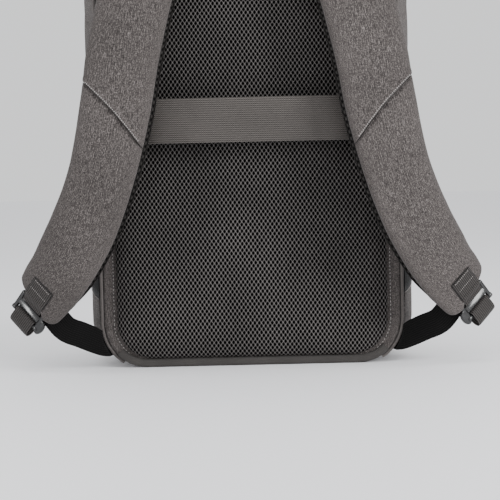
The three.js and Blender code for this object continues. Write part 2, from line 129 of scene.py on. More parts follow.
def wire(tree, kind, inputs=None, **settings):
    made = tree.nodes.new("ShaderNode" + kind)
    for key, value in settings.items():
        setattr(made, key, value)
    for key, value in (inputs or {}).items():
        if isinstance(value, bpy.types.NodeSocket):
            tree.links.new(value, made.inputs[key])
        else:
            made.inputs[key].default_value = value
    return made.outputs[0]


def ramp(tree, share, stops):
    made = tree.nodes.new("ShaderNodeValToRGB")
    tree.links.new(share, made.inputs[0])
    points = made.color_ramp.elements
    while len(points) < len(stops):
        points.new(0.5)
    for point, (place, tone) in zip(points, stops):
        point.position = place
        point.color = (*tone, 1)
    return made.outputs[0]


def calc(tree, operation, a, b=0.0, c=0.0):
    return wire(tree, "Math", {0: a, 1: b, 2: c}, operation=operation)


def waveOf(tree, length, period, kind="SINE"):
    turns = calc(tree, "MULTIPLY", length, 2 * math.pi / (period * mm))
    return calc(tree, kind, turns)


def clothAxes(tree):
    cloth = wire(tree, "UVMap", uv_map="cloth")
    split = tree.nodes.new("ShaderNodeSeparateXYZ")
    tree.links.new(cloth, split.inputs[0])
    return cloth, split.outputs[0], split.outputs[1]


def streaks(tree, cloth, alongSize, acrossSize, detail=2.0):
    stretched = wire(tree, "Mapping", {
        "Vector": cloth, "Scale": (1 / (alongSize * mm), 1 / (acrossSize * mm), 1),
    })
    return wire(tree, "TexNoise", {"Vector": stretched, "Scale": 1.0, "Detail": detail, "Roughness": 0.6})


def addBump(tree, shader, height, strength, reach):
    bump = wire(tree, "Bump", {"Height": height, "Strength": strength, "Distance": reach * mm})
    tree.links.new(bump, shader.inputs["Normal"])


def objectNoise(tree, scale, detail):
    place = tree.nodes.new("ShaderNodeTexCoord").outputs["Object"]
    return wire(tree, "TexNoise", {"Vector": place, "Scale": scale, "Detail": detail})


def broadWear(tree, size, low, high):
    worn = objectNoise(tree, 1 / (size * mm), 2.0)
    return wire(tree, "MapRange", {
        "Value": worn, "From Min": 0.3, "From Max": 0.7, "To Min": low, "To Max": high,
    })


def tintShader(tree, shader, tone, worn):
    colour = wire(tree, "MixRGB", {"Fac": 1.0, "Color1": tone, "Color2": worn}, blend_type="MULTIPLY")
    tree.links.new(colour, shader.inputs["Base Color"])


def setLook(shader, **values):
    for key, value in values.items():
        shader.inputs[shaderInputs[key]].default_value = value


def roughenShader(tree, shader, value, low, high):
    rough = wire(tree, "MapRange", {"Value": value, "To Min": low, "To Max": high})
    tree.links.new(rough, shader.inputs["Roughness"])


melangeLook = {
    "thread": 0.5, "slub": 4.5, "fleck": (1.4, 0.5), "streak": (6.0, 0.6), "wear": 70,
    "dark": (0.010, 0.009, 0.0088), "middle": (0.055, 0.048, 0.0457), "light": (0.205, 0.184, 0.176),
}


def melangeCloth(name, look):
    material, tree, shader = startFinish(name)
    cloth, along, across = clothAxes(tree)
    warp = streaks(tree, cloth, look["slub"], look["thread"])
    weft = streaks(tree, cloth, look["thread"], look["slub"] * 0.6)
    pair = look["thread"] * 2
    over = calc(tree, "MULTIPLY", waveOf(tree, along, pair), waveOf(tree, across, pair))
    chosen = calc(tree, "MULTIPLY_ADD", over, 1.5, 0.5)
    threads = wire(tree, "MixRGB", {"Fac": chosen, "Color1": warp, "Color2": weft}, use_clamp=True)
    fleck = streaks(tree, cloth, *look["fleck"], 1.0)
    slub = streaks(tree, cloth, *look["streak"], 1.0)
    mottle = calc(tree, "ADD", calc(tree, "MULTIPLY", fleck, 0.6), calc(tree, "MULTIPLY", slub, 0.4))
    mixed = wire(tree, "MixRGB", {"Fac": 0.6, "Color1": threads, "Color2": mottle})
    tone = ramp(tree, mixed, [(0.37, look["dark"]), (0.5, look["middle"]), (0.64, look["light"])])
    tintShader(tree, shader, tone, broadWear(tree, look["wear"], 0.9, 1.1))
    roughenShader(tree, shader, threads, 0.82, 1.0)
    setLook(shader, sheen=0.08, sheenRough=0.5, gloss=0.12)
    height = calc(tree, "ADD", calc(tree, "MULTIPLY", over, 0.5), threads)
    addBump(tree, shader, height, 0.5, 0.25)
    return material


def webCloth(name, dark, light, ribAlong, ribAcross, roughness=0.6, gloss=0.3):
    material, tree, shader = startFinish(name)
    cloth, along, across = clothAxes(tree)
    ribs = waveOf(tree, along, ribAlong)
    cords = waveOf(tree, across, ribAcross)
    checks = calc(tree, "MULTIPLY_ADD", calc(tree, "MULTIPLY", ribs, cords), 0.3, 0.5)
    weave = calc(tree, "MULTIPLY_ADD", cords, 0.24, checks)
    yarn = streaks(tree, cloth, 5.0, 0.5)
    blend = calc(tree, "ADD", calc(tree, "MULTIPLY", weave, 0.7), calc(tree, "MULTIPLY", yarn, 0.3))
    tone = ramp(tree, blend, [(0.33, dark), (0.70, light)])
    tintShader(tree, shader, tone, broadWear(tree, 45, 0.88, 1.1))
    roughenShader(tree, shader, yarn, roughness - 0.08, roughness + 0.14)
    setLook(shader, sheen=0.04, gloss=gloss)
    addBump(tree, shader, calc(tree, "ADD", calc(tree, "MULTIPLY", cords, 0.35), weave), 0.7, 0.35)
    return material


knitCell = (4.16, 6.1)


def knitStrand(name, closedHoleShade, dark, light):
    # Strands are palest where they cross, a painted highlight, and darkest at the cell centres; cells that
    # stay closed near a rim get painted shade in place of a hole
    material, tree, shader = startFinish(name)
    cloth, along, across = clothAxes(tree)
    knit = streaks(tree, cloth, 0.5, 1.4)
    stitch = waveOf(tree, calc(tree, "ADD", along, across), 0.55)
    crossingGlintHoleShade = calc(tree, "MULTIPLY", waveOf(tree, along, knitCell[0], "COSINE"),
                   waveOf(tree, across, knitCell[1], "COSINE"))
    fibre = calc(tree, "MULTIPLY_ADD", knit, 0.6, calc(tree, "MULTIPLY_ADD", stitch, 0.07, 0.2))
    blend = calc(tree, "MULTIPLY_ADD", crossingGlintHoleShade, 0.27, fibre)
    tone = ramp(tree, blend, [(0.26, closedHoleShade), (0.42, dark), (0.80, light)])
    tintShader(tree, shader, tone, broadWear(tree, 60, 0.86, 1.14))
    roughenShader(tree, shader, knit, 0.5, 0.8)
    setLook(shader, gloss=0.15)
    addBump(tree, shader, blend, 0.5, 0.2)
    return material


# Near-black painted shade for the walls and floors of the air mesh holes
def pitShadeFinish(name):
    material, tree, shader = startFinish(name)
    fibre = streaks(tree, clothAxes(tree)[0], 0.6, 0.6)
    tone = ramp(tree, fibre, [(0.35, (0.003, 0.003, 0.003)), (0.7, (0.011, 0.0105, 0.0105))])
    tree.links.new(tone, shader.inputs["Base Color"])
    setLook(shader, rough=0.95, gloss=0.04)
    return material


def mouldedPlastic(name, tone, roughness):
    material, tree, shader = startFinish(name)
    grain = objectNoise(tree, 900.0, 3.0)
    rubbed = objectNoise(tree, 120.0, 3.0)
    lighter = tuple(value * 1.7 + 0.004 for value in tone)
    colour = ramp(tree, rubbed, [(0.35, tone), (0.8, lighter)])
    tree.links.new(colour, shader.inputs["Base Color"])
    roughenShader(tree, shader, rubbed, roughness - 0.08, roughness + 0.16)
    addBump(tree, shader, grain, 0.15, 0.06)
    return material


def sewingThread(name, tone):
    material, tree, shader = startFinish(name)
    twist = objectNoise(tree, 2200.0, 1.0)
    darker = tuple(value * 0.6 for value in tone)
    tree.links.new(ramp(tree, twist, [(0.35, darker), (0.65, tone)]), shader.inputs["Base Color"])
    setLook(shader, rough=0.6)
    addBump(tree, shader, twist, 0.3, 0.08)
    return material


melange = melangeCloth("melangeFabric", melangeLook)
bindingCloth = webCloth("bindingTape", (0.050, 0.045, 0.043), (0.17, 0.153, 0.146), 1.1, 0.9, 0.75, 0.12)
stretchCloth = webCloth("stretchFabric", (0.003, 0.003, 0.003), (0.014, 0.0135, 0.0135), 0.9, 1.0, 0.6, 0.2)
# The base binding's tape is darker than the piping tape: painted shade along the base under the pad
shadedBaseTape = webCloth("shadedBaseTape", (0.024, 0.022, 0.021), (0.080, 0.074, 0.070), 1.1, 0.9, 0.75, 0.15)
bandWeave = webCloth("bandWebbing", (0.026, 0.023, 0.021), (0.100, 0.090, 0.083), 2.1, 2.0, 0.6, 0.2)
greyWeave = webCloth("greyWebbing", (0.001, 0.001, 0.001), (0.066, 0.059, 0.056), 1.7, 2.0, 0.6, 0.15)
tailWeave = webCloth("tailWebbing", (0.001, 0.001, 0.001), (0.066, 0.059, 0.056), 1.7, 2.0, 0.6, 0.15)
# The adjuster run is the same webbing as the tail, darkened to near black as painted shade
shadedRunWeave = webCloth("shadedRunWebbing", (0.0015, 0.0015, 0.0015), (0.0075, 0.007, 0.007), 1.7, 2.0, 0.7, 0.06)
# The first tone is painted shade for the cells that stay closed near a rim
strandKnit = knitStrand(
    "airMeshStrands", (0.004, 0.004, 0.004), (0.022, 0.0205, 0.0195), (0.120, 0.111, 0.107),
)
pitShade = pitShadeFinish("airMeshPitShade")
lockPlastic = mouldedPlastic("lockPlastic", (0.006, 0.006, 0.0062), 0.17)
coilPlastic = mouldedPlastic("zipCoil", (0.012, 0.012, 0.013), 0.45)
sliderMetal = mouldedPlastic("sliderEnamel", (0.02, 0.02, 0.021), 0.28)
paleThread = sewingThread("paleThread", (0.42, 0.395, 0.38))
darkThread = sewingThread("darkThread", (0.035, 0.033, 0.032))
# Near-black thread used only for the bead line of painted shadow round the strap patches
patchShadowThread = sewingThread("patchShadowThread", (0.006, 0.006, 0.006))
print("finishes ready")


# Making and placing meshes
def makePiece(name, bm, finishes, stands=(), closed=True):
    if closed:
        bmesh.ops.recalc_face_normals(bm, faces=bm.faces[:])
    mesh = bpy.data.meshes.new(name)
    bm.to_mesh(mesh)
    bm.free()
    for finish in finishes:
        mesh.materials.append(finish)
    piece = bpy.data.objects.new(name, mesh)
    bpy.context.collection.objects.link(piece)
    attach(piece, "root")
    if stands:
        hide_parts(*stands)
    return piece


def smoothFaces(bm):
    for face in bm.faces:
        face.smooth = True


def openEdges(bm):
    return [edge for edge in bm.edges if edge.is_boundary]


def grownRim(bm):
    grown = bmesh.ops.extrude_edge_only(bm, edges=openEdges(bm))["geom"]
    return [part for part in grown if isinstance(part, bmesh.types.BMVert)]


def axesMatrix(at, *axes):
    turned = Matrix(axes).transposed() * mm
    return Matrix.Translation(at * mm) @ turned.to_4x4()


def spread(length, width):
    return lambda u, v: (u * length, v * width)


def closeEnds(bm):
    ends = bmesh.ops.holes_fill(bm, edges=openEdges(bm), sides=0)["faces"]
    for face in ends:
        face.smooth = False
        for edge in face.edges:
            edge.smooth = False
    return ends


def gridMesh(columns, rows, placeAt, clothAt, wrap=False):
    bm = bmesh.new()
    bmesh.ops.create_grid(bm, x_segments=columns, y_segments=rows, size=0.5)
    cloth = bm.loops.layers.uv.new("cloth")
    for face in bm.faces:
        face.smooth = True
        for corner in face.loops:
            u, v = corner.vert.co.x + 0.5, corner.vert.co.y + 0.5
            corner[cloth].uv = Vector(clothAt(u, v)) * mm
    for vert in bm.verts:
        vert.co = placeAt(vert.co.x + 0.5, vert.co.y + 0.5) * mm
    if wrap:
        bmesh.ops.remove_doubles(bm, verts=bm.verts[:], dist=1e-6)
    return bm


def turnOutwards(bm, middle):
    facing = sum(face.normal.dot(face.calc_center_median() - middle) * face.calc_area() for face in bm.faces)
    if facing < 0:
        bmesh.ops.reverse_faces(bm, faces=bm.faces[:])


def openSheet(columns, rows, placeAt, clothAt):
    bm = gridMesh(columns, rows, placeAt, clothAt)
    bm.normal_update()
    turnOutwards(bm, bagMiddle)
    return bm


def roundEdges(bm, edges, reach, segments=3):
    bmesh.ops.bevel(
        bm, geom=list(edges), offset=reach, segments=segments, profile=0.5, affect="EDGES", material=-1,
    )


def edgesOf(made):
    return {edge for vert in made["verts"] for edge in vert.link_edges}


def rimsOf(made):
    return {edge for edge in edgesOf(made) if any(len(face.verts) > 4 for face in edge.link_faces)}


def flatCloth(bm):
    cloth = bm.loops.layers.uv[0] if bm.loops.layers.uv else bm.loops.layers.uv.new("cloth")
    bm.normal_update()
    for face in bm.faces:
        size = [abs(value) for value in face.normal]
        flat = size.index(max(size))
        for corner in face.loops:
            x, y, z = corner.vert.co
            corner[cloth].uv = ((z, y), (z, x), (x, y))[flat]


def evenly(pointAt, start=0.0, end=1.0, samples=160):
    ticks = [mix(start, end, k / samples) for k in range(samples + 1)]
    points = [pointAt(tick) for tick in ticks]
    lengths = [0.0]
    for a, b in zip(points, points[1:]):
        lengths.append(lengths[-1] + (b - a).length)

    def tickAt(share):
        target = min(max(share, 0), 1) * lengths[-1]
        k = min(max(bisect.bisect_right(lengths, target), 1), samples)
        span = lengths[k] - lengths[k - 1]
        return mix(ticks[k - 1], ticks[k], (target - lengths[k - 1]) / span if span else 0)

    return tickAt, lengths[-1]


def splinePoint(points, share):
    last = len(points) - 1
    place = min(max(share, 0), 1) * last
    k = min(int(place), last - 1)
    before = points[k - 1] if k > 0 else points[0] * 2 - points[1]
    after = points[k + 2] if k + 2 <= last else points[last] * 2 - points[last - 1]
    corners = [before, points[k], points[k + 1], after]
    steps = [max((b - a).length ** 0.5, 1e-4) for a, b in zip(corners, corners[1:])]
    into = (corners[1] - corners[0]) / steps[0] - (corners[2] - corners[0]) / (steps[0] + steps[1])
    into = (into + (corners[2] - corners[1]) / steps[1]) * steps[1]
    away = (corners[2] - corners[1]) / steps[1] - (corners[3] - corners[1]) / (steps[1] + steps[2])
    away = (away + (corners[3] - corners[2]) / steps[2]) * steps[1]
    t = place - k
    start, end = corners[1], corners[2]
    return (start + into * t + (end * 3 - start * 3 - into * 2 - away) * t ** 2
            + (start * 2 - end * 2 + into + away) * t ** 3)


def splineWay(points, share):
    low, high = max(share - 1e-4, 0), min(share + 1e-4, 1)
    return (splinePoint(points, high) - splinePoint(points, low)).normalized()


def roundSection(v, width, thickness, square=0.32):
    turn = 2 * math.pi * v
    across, up = math.cos(turn), math.sin(turn)
    a = math.copysign(abs(across) ** square, across) * width / 2
    o = math.copysign(abs(up) ** 0.7, up) * thickness / 2
    return a, o


def ribbonMesh(rows, width, thickness, columns, around=20, creaseAt=None):
    points = [at for at, _ in rows]
    tickAt, length = evenly(lambda share: splinePoint(points, share))

    def frameAt(u):
        share = tickAt(u)
        place = share * (len(rows) - 1)
        k = min(int(place), len(rows) - 2)
        across = rows[k][1].lerp(rows[k + 1][1], place - k)
        along = splineWay(points, share)
        up = along.cross(across).normalized()
        return splinePoint(points, share), up.cross(along).normalized(), up

    frames = {}

    def placeAt(u, v):
        key = round(u, 6)
        if key not in frames:
            frames[key] = frameAt(u)
        at, across, up = frames[key]
        a, o = roundSection(v, width, thickness)
        return at + across * a + up * (o - (creaseAt(u * length) if creaseAt else 0))

    def clothAt(u, v):
        return u * length, width / 2 + roundSection(v, width, thickness)[0]

    bm = gridMesh(columns, around, placeAt, clothAt, wrap=True)
    closeEnds(bm)
    return bm


# A stitch covers this share of its pitch and lies a little flat
threadShare, threadFlat = 0.725, 0.8


def stitchMesh(rows, pitch, radius):
    whole = bmesh.new()
    for pointAt, outAt in rows:
        tickAt, length = evenly(pointAt, samples=120)
        count = max(int(length / pitch), 1)
        row = bmesh.new()
        for k in range(count):
            tick = tickAt((k + 0.5) / count)
            before, after = pointAt(tickAt((k + 0.2) / count)), pointAt(tickAt((k + 0.8) / count))
            along = (after - before).normalized()
            out = outAt(tick)
            side = along.cross(out).normalized()
            out = side.cross(along)
            half = threadShare * pitch / 2
            matrix = axesMatrix(pointAt(tick), along * half, side * radius, out * radius * threadFlat)
            bmesh.ops.create_uvsphere(row, u_segments=4, v_segments=6, radius=1.0, matrix=matrix)
        mesh = bpy.data.meshes.new("row")
        row.to_mesh(mesh)
        row.free()
        whole.from_mesh(mesh)
        bpy.data.meshes.remove(mesh)
    smoothFaces(whole)
    return whole


def sew(name, rows, pitch, radius, thread):
    return makePiece(name, stitchMesh(rows, pitch, radius), [thread])


# The bag's own shape, as in the frame's source
bag = {
    "height": 450, "backHalf": 143, "baseDepth": 150, "topDepth": 108, "sideBulge": 20,
    "frontCrown": 10, "crownReach": 70, "wall": 3, "gap": 0.3, "board": 4,
}
backShape = {"half": 143, "bottom": 0, "top": 450, "low": 42, "high": 92}
frontShape = {"half": 131, "bottom": 0, "top": 436, "low": 36, "high": 84}
padShape = {"half": 130, "bottom": 8.5, "top": 403, "low": 34, "high": 38}
backPlane = -bag["baseDepth"] / 2
seamBack = backPlane + bag["board"] + bag["gap"]
padBack = backPlane - bag["gap"]
courseLength = 9
bagMiddle = Vector((0, -0.01, 0.22))


def outlineAt(shape, course, inset=0.0):
    wrapped = course % courseLength
    side = -1 if wrapped > courseLength / 2 else 1
    along = courseLength - wrapped if side < 0 else wrapped
    half, bottom, top = shape["half"] - inset, shape["bottom"] + inset, shape["top"] - inset
    low, high = max(shape["low"] - inset, 1), max(shape["high"] - inset, 1)
    if along <= 1:
        x, z, outX, outZ = (half - low) * along, bottom, 0.0, -1.0
    elif along <= 2:
        turn = (along - 2) * math.pi / 2
        outX, outZ = math.cos(turn), math.sin(turn)
        x, z = half - low + low * outX, bottom + low + low * outZ
    elif along <= 3:
        x, z, outX, outZ = half, mix(bottom + low, top - high, along - 2), 1.0, 0.0
    elif along <= 4:
        turn = (along - 3) * math.pi / 2
        outX, outZ = math.cos(turn), math.sin(turn)
        x, z = half - high + high * outX, top - high + high * outZ
    else:
        x, z, outX, outZ = (half - high) * (courseLength / 2 - along) * 2, top, 0.0, 1.0
    return side * x, z, side * outX, outZ


def outlineSteps(shape, start, end):
    return evenly(lambda course: Vector((*outlineAt(shape, course)[:2], 0)), start, end)


def courseAtHeight(height):
    straight = backShape["top"] - backShape["high"] - backShape["low"]
    return 2 + (height - backShape["low"]) / straight


def frontSeam(z):
    return mix(bag["baseDepth"] / 2, bag["topDepth"] - bag["baseDepth"] / 2, z / bag["height"])


def bulgeAt(course):
    wrapped = course % courseLength
    along = min(wrapped, courseLength - wrapped)
    rise = 0.62 * smoothStep(along, 1, 2) + 0.38 * smoothStep(along, 2, 2.6)
    return bag["sideBulge"] * (rise - 0.5 * smoothStep(along, 3.2, 4.2))


def bodyPoint(course, depth, lift=0.0):
    back, front = outlineAt(backShape, course), outlineAt(frontShape, course)
    x, z, outX, outZ = (mix(b, f, depth) for b, f in zip(back, front))
    size = math.hypot(outX, outZ)
    reach = lift + bulgeAt(course) * 4 * depth * (1 - depth)
    y = mix(seamBack, frontSeam(front[1]), depth)
    return Vector((x + outX / size * reach, y, z + outZ / size * reach))


def bodyOut(course, depth):
    return (bodyPoint(course, depth, 5) - bodyPoint(course, depth, 0)).normalized()


# Cloth that is sewn down along some of its points and left a little slack between them
clothFrames = 18
clothFacts = {
    "quality": 5, "mass": 0.2, "tension_stiffness": 20, "compression_stiffness": 12, "bending_stiffness": 1.5,
    "air_damping": 4, "vertex_group_mass": "held", "use_pressure": True,
}


def relaxCloth(piece, heldAt, shares, pressure, slack, cap):
    scene = bpy.context.scene
    rest = [vert.co.copy() for vert in piece.data.vertices]
    held = piece.vertex_groups.new(name="held")
    for k, (u, v) in enumerate(shares):
        weight = heldAt(u, v)
        if weight > 0:
            held.add([k], min(weight, 1), "REPLACE")
    cloth = piece.modifiers.new("cloth", "CLOTH")
    for key, value in clothFacts.items():
        setattr(cloth.settings, key, value)
    cloth.settings.shrink_min = -slack
    cloth.settings.uniform_pressure_force = pressure
    cloth.settings.effector_weights.gravity = 0
    cloth.collision_settings.use_collision = False
    for tick in range(1, clothFrames + 1):
        scene.frame_set(tick)
    settled = piece.evaluated_get(bpy.context.evaluated_depsgraph_get()).data
    limit = cap * mm
    moved = []
    for before, vert in zip(rest, settled.vertices):
        shift = vert.co - before
        reach = shift.length
        moved.append(before + shift * (limit * math.tanh(reach / limit) / reach if reach > 1e-9 else 1))
    piece.modifiers.remove(cloth)
    piece.vertex_groups.remove(held)
    for vert, place in zip(piece.data.vertices, moved):
        vert.co = place
    piece.data.update()
    scene.frame_set(1)


def sharesOf(columns, rows):
    bm = bmesh.new()
    bmesh.ops.create_grid(bm, x_segments=columns, y_segments=rows, size=0.5)
    found = [(vert.co.x + 0.5, vert.co.y + 0.5) for vert in bm.verts]
    bm.free()
    return found


def thicken(piece, thickness, levels=1):
    wall = piece.modifiers.new("wall", "SOLIDIFY")
    wall.thickness = thickness * mm
    wall.offset = -1
    wall.use_even_offset = False
    if levels:
        soft = piece.modifiers.new("soft", "SUBSURF")
        soft.levels = soft.render_levels = levels


# Gusset panels: sides, top and bottom
gusset = {"bottomEnd": 1.5, "topStart": 3.125, "zipStart": 2.45, "zipDepth": 0.6, "zipTape": 11}
bottomTrim = bag["gap"] / (math.pi * backShape["low"])
topTrim = bag["gap"] / (math.pi * backShape["high"])


def gussetPiece(name, start, end, columns, rows, relaxed=True):
    tickAt, length = evenly(lambda course: bodyPoint(course, 0.5), start, end)
    width = 0.5 * (bag["baseDepth"] + bag["topDepth"])

    def placeAt(u, v):
        return bodyPoint(tickAt(u), v)

    bm = openSheet(columns, rows, placeAt, spread(length, width))
    piece = makePiece(name + "_cloth", bm, [melange], [name], closed=False)
    if relaxed:
        def heldAt(u, v):
            course = tickAt(u)
            zipped = gusset["zipStart"] - 0.03 < course < courseLength - gusset["zipStart"] + 0.03
            tape = abs(v - gusset["zipDepth"]) * bag["baseDepth"]
            edge = min(u * length, (1 - u) * length, v * width, (1 - v) * width)
            firm = 1 - smoothStep(edge, 1.5, 12)
            if zipped:
                firm = max(firm, 1 - smoothStep(tape, 7, 16))
            return firm

        relaxCloth(piece, heldAt, sharesOf(columns, rows), 1.4, 0.014, 3.5)
    thicken(piece, bag["wall"])


gussetPiece("side_panel_right", gusset["bottomEnd"] + bottomTrim, gusset["topStart"] - topTrim, 74, 30)
gussetPiece("side_panel_left", courseLength - gusset["topStart"] + topTrim,
            courseLength - gusset["bottomEnd"] - bottomTrim, 74, 30)
gussetPiece("top_panel", gusset["topStart"] + topTrim, courseLength - gusset["topStart"] - topTrim, 76, 26)
gussetPiece("bottom_panel", -gusset["bottomEnd"] + bottomTrim, gusset["bottomEnd"] - bottomTrim,
            60, 26, False)
print("gusset ready")


# Front panel: a crowned padded cover
def frontY(inset, z):
    crown = bag["frontCrown"] * smoothStep(inset, 0, bag["crownReach"])
    return frontSeam(z) + bag["gap"] + crown + bag["wall"]


def insideOf(shape, x, z):
    side = 1 if x >= 0 else -1
    ax = abs(x)
    lowX, lowZ = shape["half"] - shape["low"], shape["bottom"] + shape["low"]
    highX, highZ = shape["half"] - shape["high"], shape["top"] - shape["high"]
    if ax > lowX and z < lowZ:
        reach = math.hypot(ax - lowX, z - lowZ) or 1e-6
        return shape["low"] - reach, side * (ax - lowX) / reach, (z - lowZ) / reach
    if ax > highX and z > highZ:
        reach = math.hypot(ax - highX, z - highZ) or 1e-6
        return shape["high"] - reach, side * (ax - highX) / reach, (z - highZ) / reach
    low, high = z - shape["bottom"], shape["top"] - z
    return min((shape["half"] - ax, side, 0.0), (low, 0.0, -1.0), (high, 0.0, 1.0))


def halfWidthAt(shape, z):
    low, high = shape["bottom"] + shape["low"] - z, z - shape["top"] + shape["high"]
    if low > 0:
        return shape["half"] - shape["low"] + math.sqrt(max(shape["low"] ** 2 - low ** 2, 0))
    if high > 0:
        return shape["half"] - shape["high"] + math.sqrt(max(shape["high"] ** 2 - high ** 2, 0))
    return shape["half"]


def heightShare(shape, v):
    bottomPart, topPart = 0.14, 0.22
    if v < bottomPart:
        return shape["bottom"] + shape["low"] * (1 - math.cos(v / bottomPart * math.pi / 2))
    if v > 1 - topPart:
        return shape["top"] - shape["high"] * (1 - math.cos((1 - v) / topPart * math.pi / 2))
    share = (v - bottomPart) / (1 - bottomPart - topPart)
    return mix(shape["bottom"] + shape["low"], shape["top"] - shape["high"], share)


def frontPanel():
    columns, rows = 44, 66

    def flatAt(u, v):
        z = heightShare(frontShape, v)
        return (2 * u - 1) * halfWidthAt(frontShape, z), z

    def placeAt(u, v):
        x, z = flatAt(u, v)
        return Vector((x, frontY(insideOf(frontShape, x, z)[0], z), z))

    bm = openSheet(columns, rows, placeAt, flatAt)
    piece = makePiece("front_panel_cover", bm, [melange], ["front_panel"], closed=False)

    def heldAt(u, v):
        x, z = flatAt(u, v)
        return 1 - smoothStep(insideOf(frontShape, x, z)[0], 2, 16)

    relaxCloth(piece, heldAt, sharesOf(columns, rows), 1.2, 0.006, 5)
    thicken(piece, bag["wall"])


frontPanel()
print("front ready")


# Back board cover and mesh pad
pad = {"thickness": 9.5, "rim": 1.5, "roll": 22, "strand": 0.5, "drop": 2.6}


def backBoard():
    path = [(3.0, 0.0), (1.0, 0.25), (0.25, 1.0), (0.0, 2.0), (0.25, 3.0), (1.0, 3.75), (3.0, 4.0)]
    tickAt, length = outlineSteps(backShape, 0, courseLength)

    def placeAt(u, v):
        place = min(max(v * (len(path) - 1), 0), len(path) - 1)
        k = min(int(place), len(path) - 2)
        inset, depth = (mix(a, b, place - k) for a, b in zip(path[k], path[k + 1]))
        x, z, _, _ = outlineAt(backShape, tickAt(u), inset)
        return Vector((x, backPlane + depth, z))

    bm = gridMesh(160, len(path) - 1, placeAt, spread(length, 8), wrap=True)
    for face in closeEnds(bm):
        for edge in face.edges:
            edge.smooth = True
    bmesh.ops.recalc_face_normals(bm, faces=bm.faces[:])
    flatCloth(bm)
    return makePiece("back_cover", bm, [melange], ["back_panel"])


backBoard()


def rollTable(roll, rise, samples=60):
    lengths, insets = [0.0], [0.0]
    last = (0.0, 0.0)
    for k in range(1, samples + 1):
        turn = math.pi / 2 * k / samples
        here = (roll * (1 - math.cos(turn)), rise * math.sin(turn))
        lengths.append(lengths[-1] + math.hypot(here[0] - last[0], here[1] - last[1]))
        insets.append(turn)
        last = here
    return lengths, insets


def airMesh(width, height, insideAt, openAt, snap, placeAt, look):
    count = math.ceil(width / knitCell[0] + height / knitCell[1]) + 6
    bm = bmesh.new()
    bmesh.ops.create_grid(bm, x_segments=count, y_segments=count, size=0.5)
    for vert in bm.verts:
        i, j = vert.co.x * count, vert.co.y * count
        vert.co = Vector(((i - j) * knitCell[0] / 2, (i + j) * knitCell[1] / 2, 0))
    outside = [face for face in bm.faces if not insideAt(*face.calc_center_median()[:2])]
    bmesh.ops.delete(bm, geom=outside, context="FACES")
    for vert in bm.verts:
        vert.co = Vector((*snap(vert.co.x, vert.co.y), 0))
    bm.normal_update()
    cells = [face for face in bm.faces if openAt(*face.calc_center_median()[:2])]
    bmesh.ops.inset_individual(bm, faces=cells, thickness=look["strand"], depth=-0.35, use_even_offset=True)
    walls = bmesh.ops.inset_individual(bm, faces=cells, thickness=0.12, depth=-look["drop"],
                                       use_even_offset=True)["faces"]
    smoothFaces(bm)
    # Hole walls and floors take the painted shade finish
    for face in cells + walls:
        face.material_index = 1
    cloth = bm.loops.layers.uv.new("cloth")
    for face in bm.faces:
        for corner in face.loops:
            corner[cloth].uv = (corner.vert.co.x * mm, corner.vert.co.y * mm)
    for vert in bm.verts:
        vert.co = placeAt(*vert.co) * mm
    return bm


def padSurface():
    rise = pad["thickness"] - pad["rim"]
    lengths, turns = rollTable(pad["roll"], rise)
    spare = lengths[-1] - pad["roll"]
    wide = {
        "half": padShape["half"] + spare, "low": padShape["low"] + spare, "high": padShape["high"] + spare,
        "bottom": padShape["bottom"] - spare, "top": padShape["top"] + spare,
    }
    middleZ = (padShape["bottom"] + padShape["top"]) / 2

    def turnAt(distance):
        k = min(max(bisect.bisect_right(lengths, distance), 1), len(lengths) - 1)
        share = (distance - lengths[k - 1]) / (lengths[k] - lengths[k - 1])
        return mix(turns[k - 1], turns[k], min(max(share, 0), 1))

    def placeAt(x, flatZ, height):
        z = flatZ + middleZ
        distance, outX, outZ = insideOf(wide, x, z)
        if distance >= lengths[-1]:
            return Vector((x, padBack - pad["thickness"] - height, z))
        turn = turnAt(max(distance, 0))
        inset = pad["roll"] * (1 - math.cos(turn))
        slide = inset + spare - distance
        normal = Vector((rise * math.cos(turn), pad["roll"] * math.sin(turn))).normalized()
        sink = height * min(1.0, 0.25 + inset / 4)
        flat = normal.x * sink - slide
        return Vector((
            x + outX * flat, padBack - pad["rim"] - rise * math.sin(turn) - normal.y * sink, z + outZ * flat,
        ))

    return placeAt, wide, middleZ


def backPad():
    placeAt, wide, middleZ = padSurface()

    def insideAt(x, flatZ):
        return insideOf(wide, x, flatZ + middleZ)[0] > 0.3

    def snap(x, flatZ):
        distance, outX, outZ = insideOf(wide, x, flatZ + middleZ)
        return (x, flatZ) if distance > 0 else (x + outX * distance, flatZ + outZ * distance)

    bm = airMesh(2 * wide["half"], wide["top"] - wide["bottom"], insideAt, lambda x, flatZ: True,
                 snap, placeAt, pad)
    turnOutwards(bm, bagMiddle)
    for vert in grownRim(bm):
        vert.co.y = padBack * mm
    for face in bmesh.ops.holes_fill(bm, edges=openEdges(bm), sides=0)["faces"]:
        face.smooth = False
    piece = makePiece("back_mesh_pad_cover", bm, [strandKnit, pitShade], ["back_mesh_pad"])
    return piece


backPad()
print("mesh pad ready")


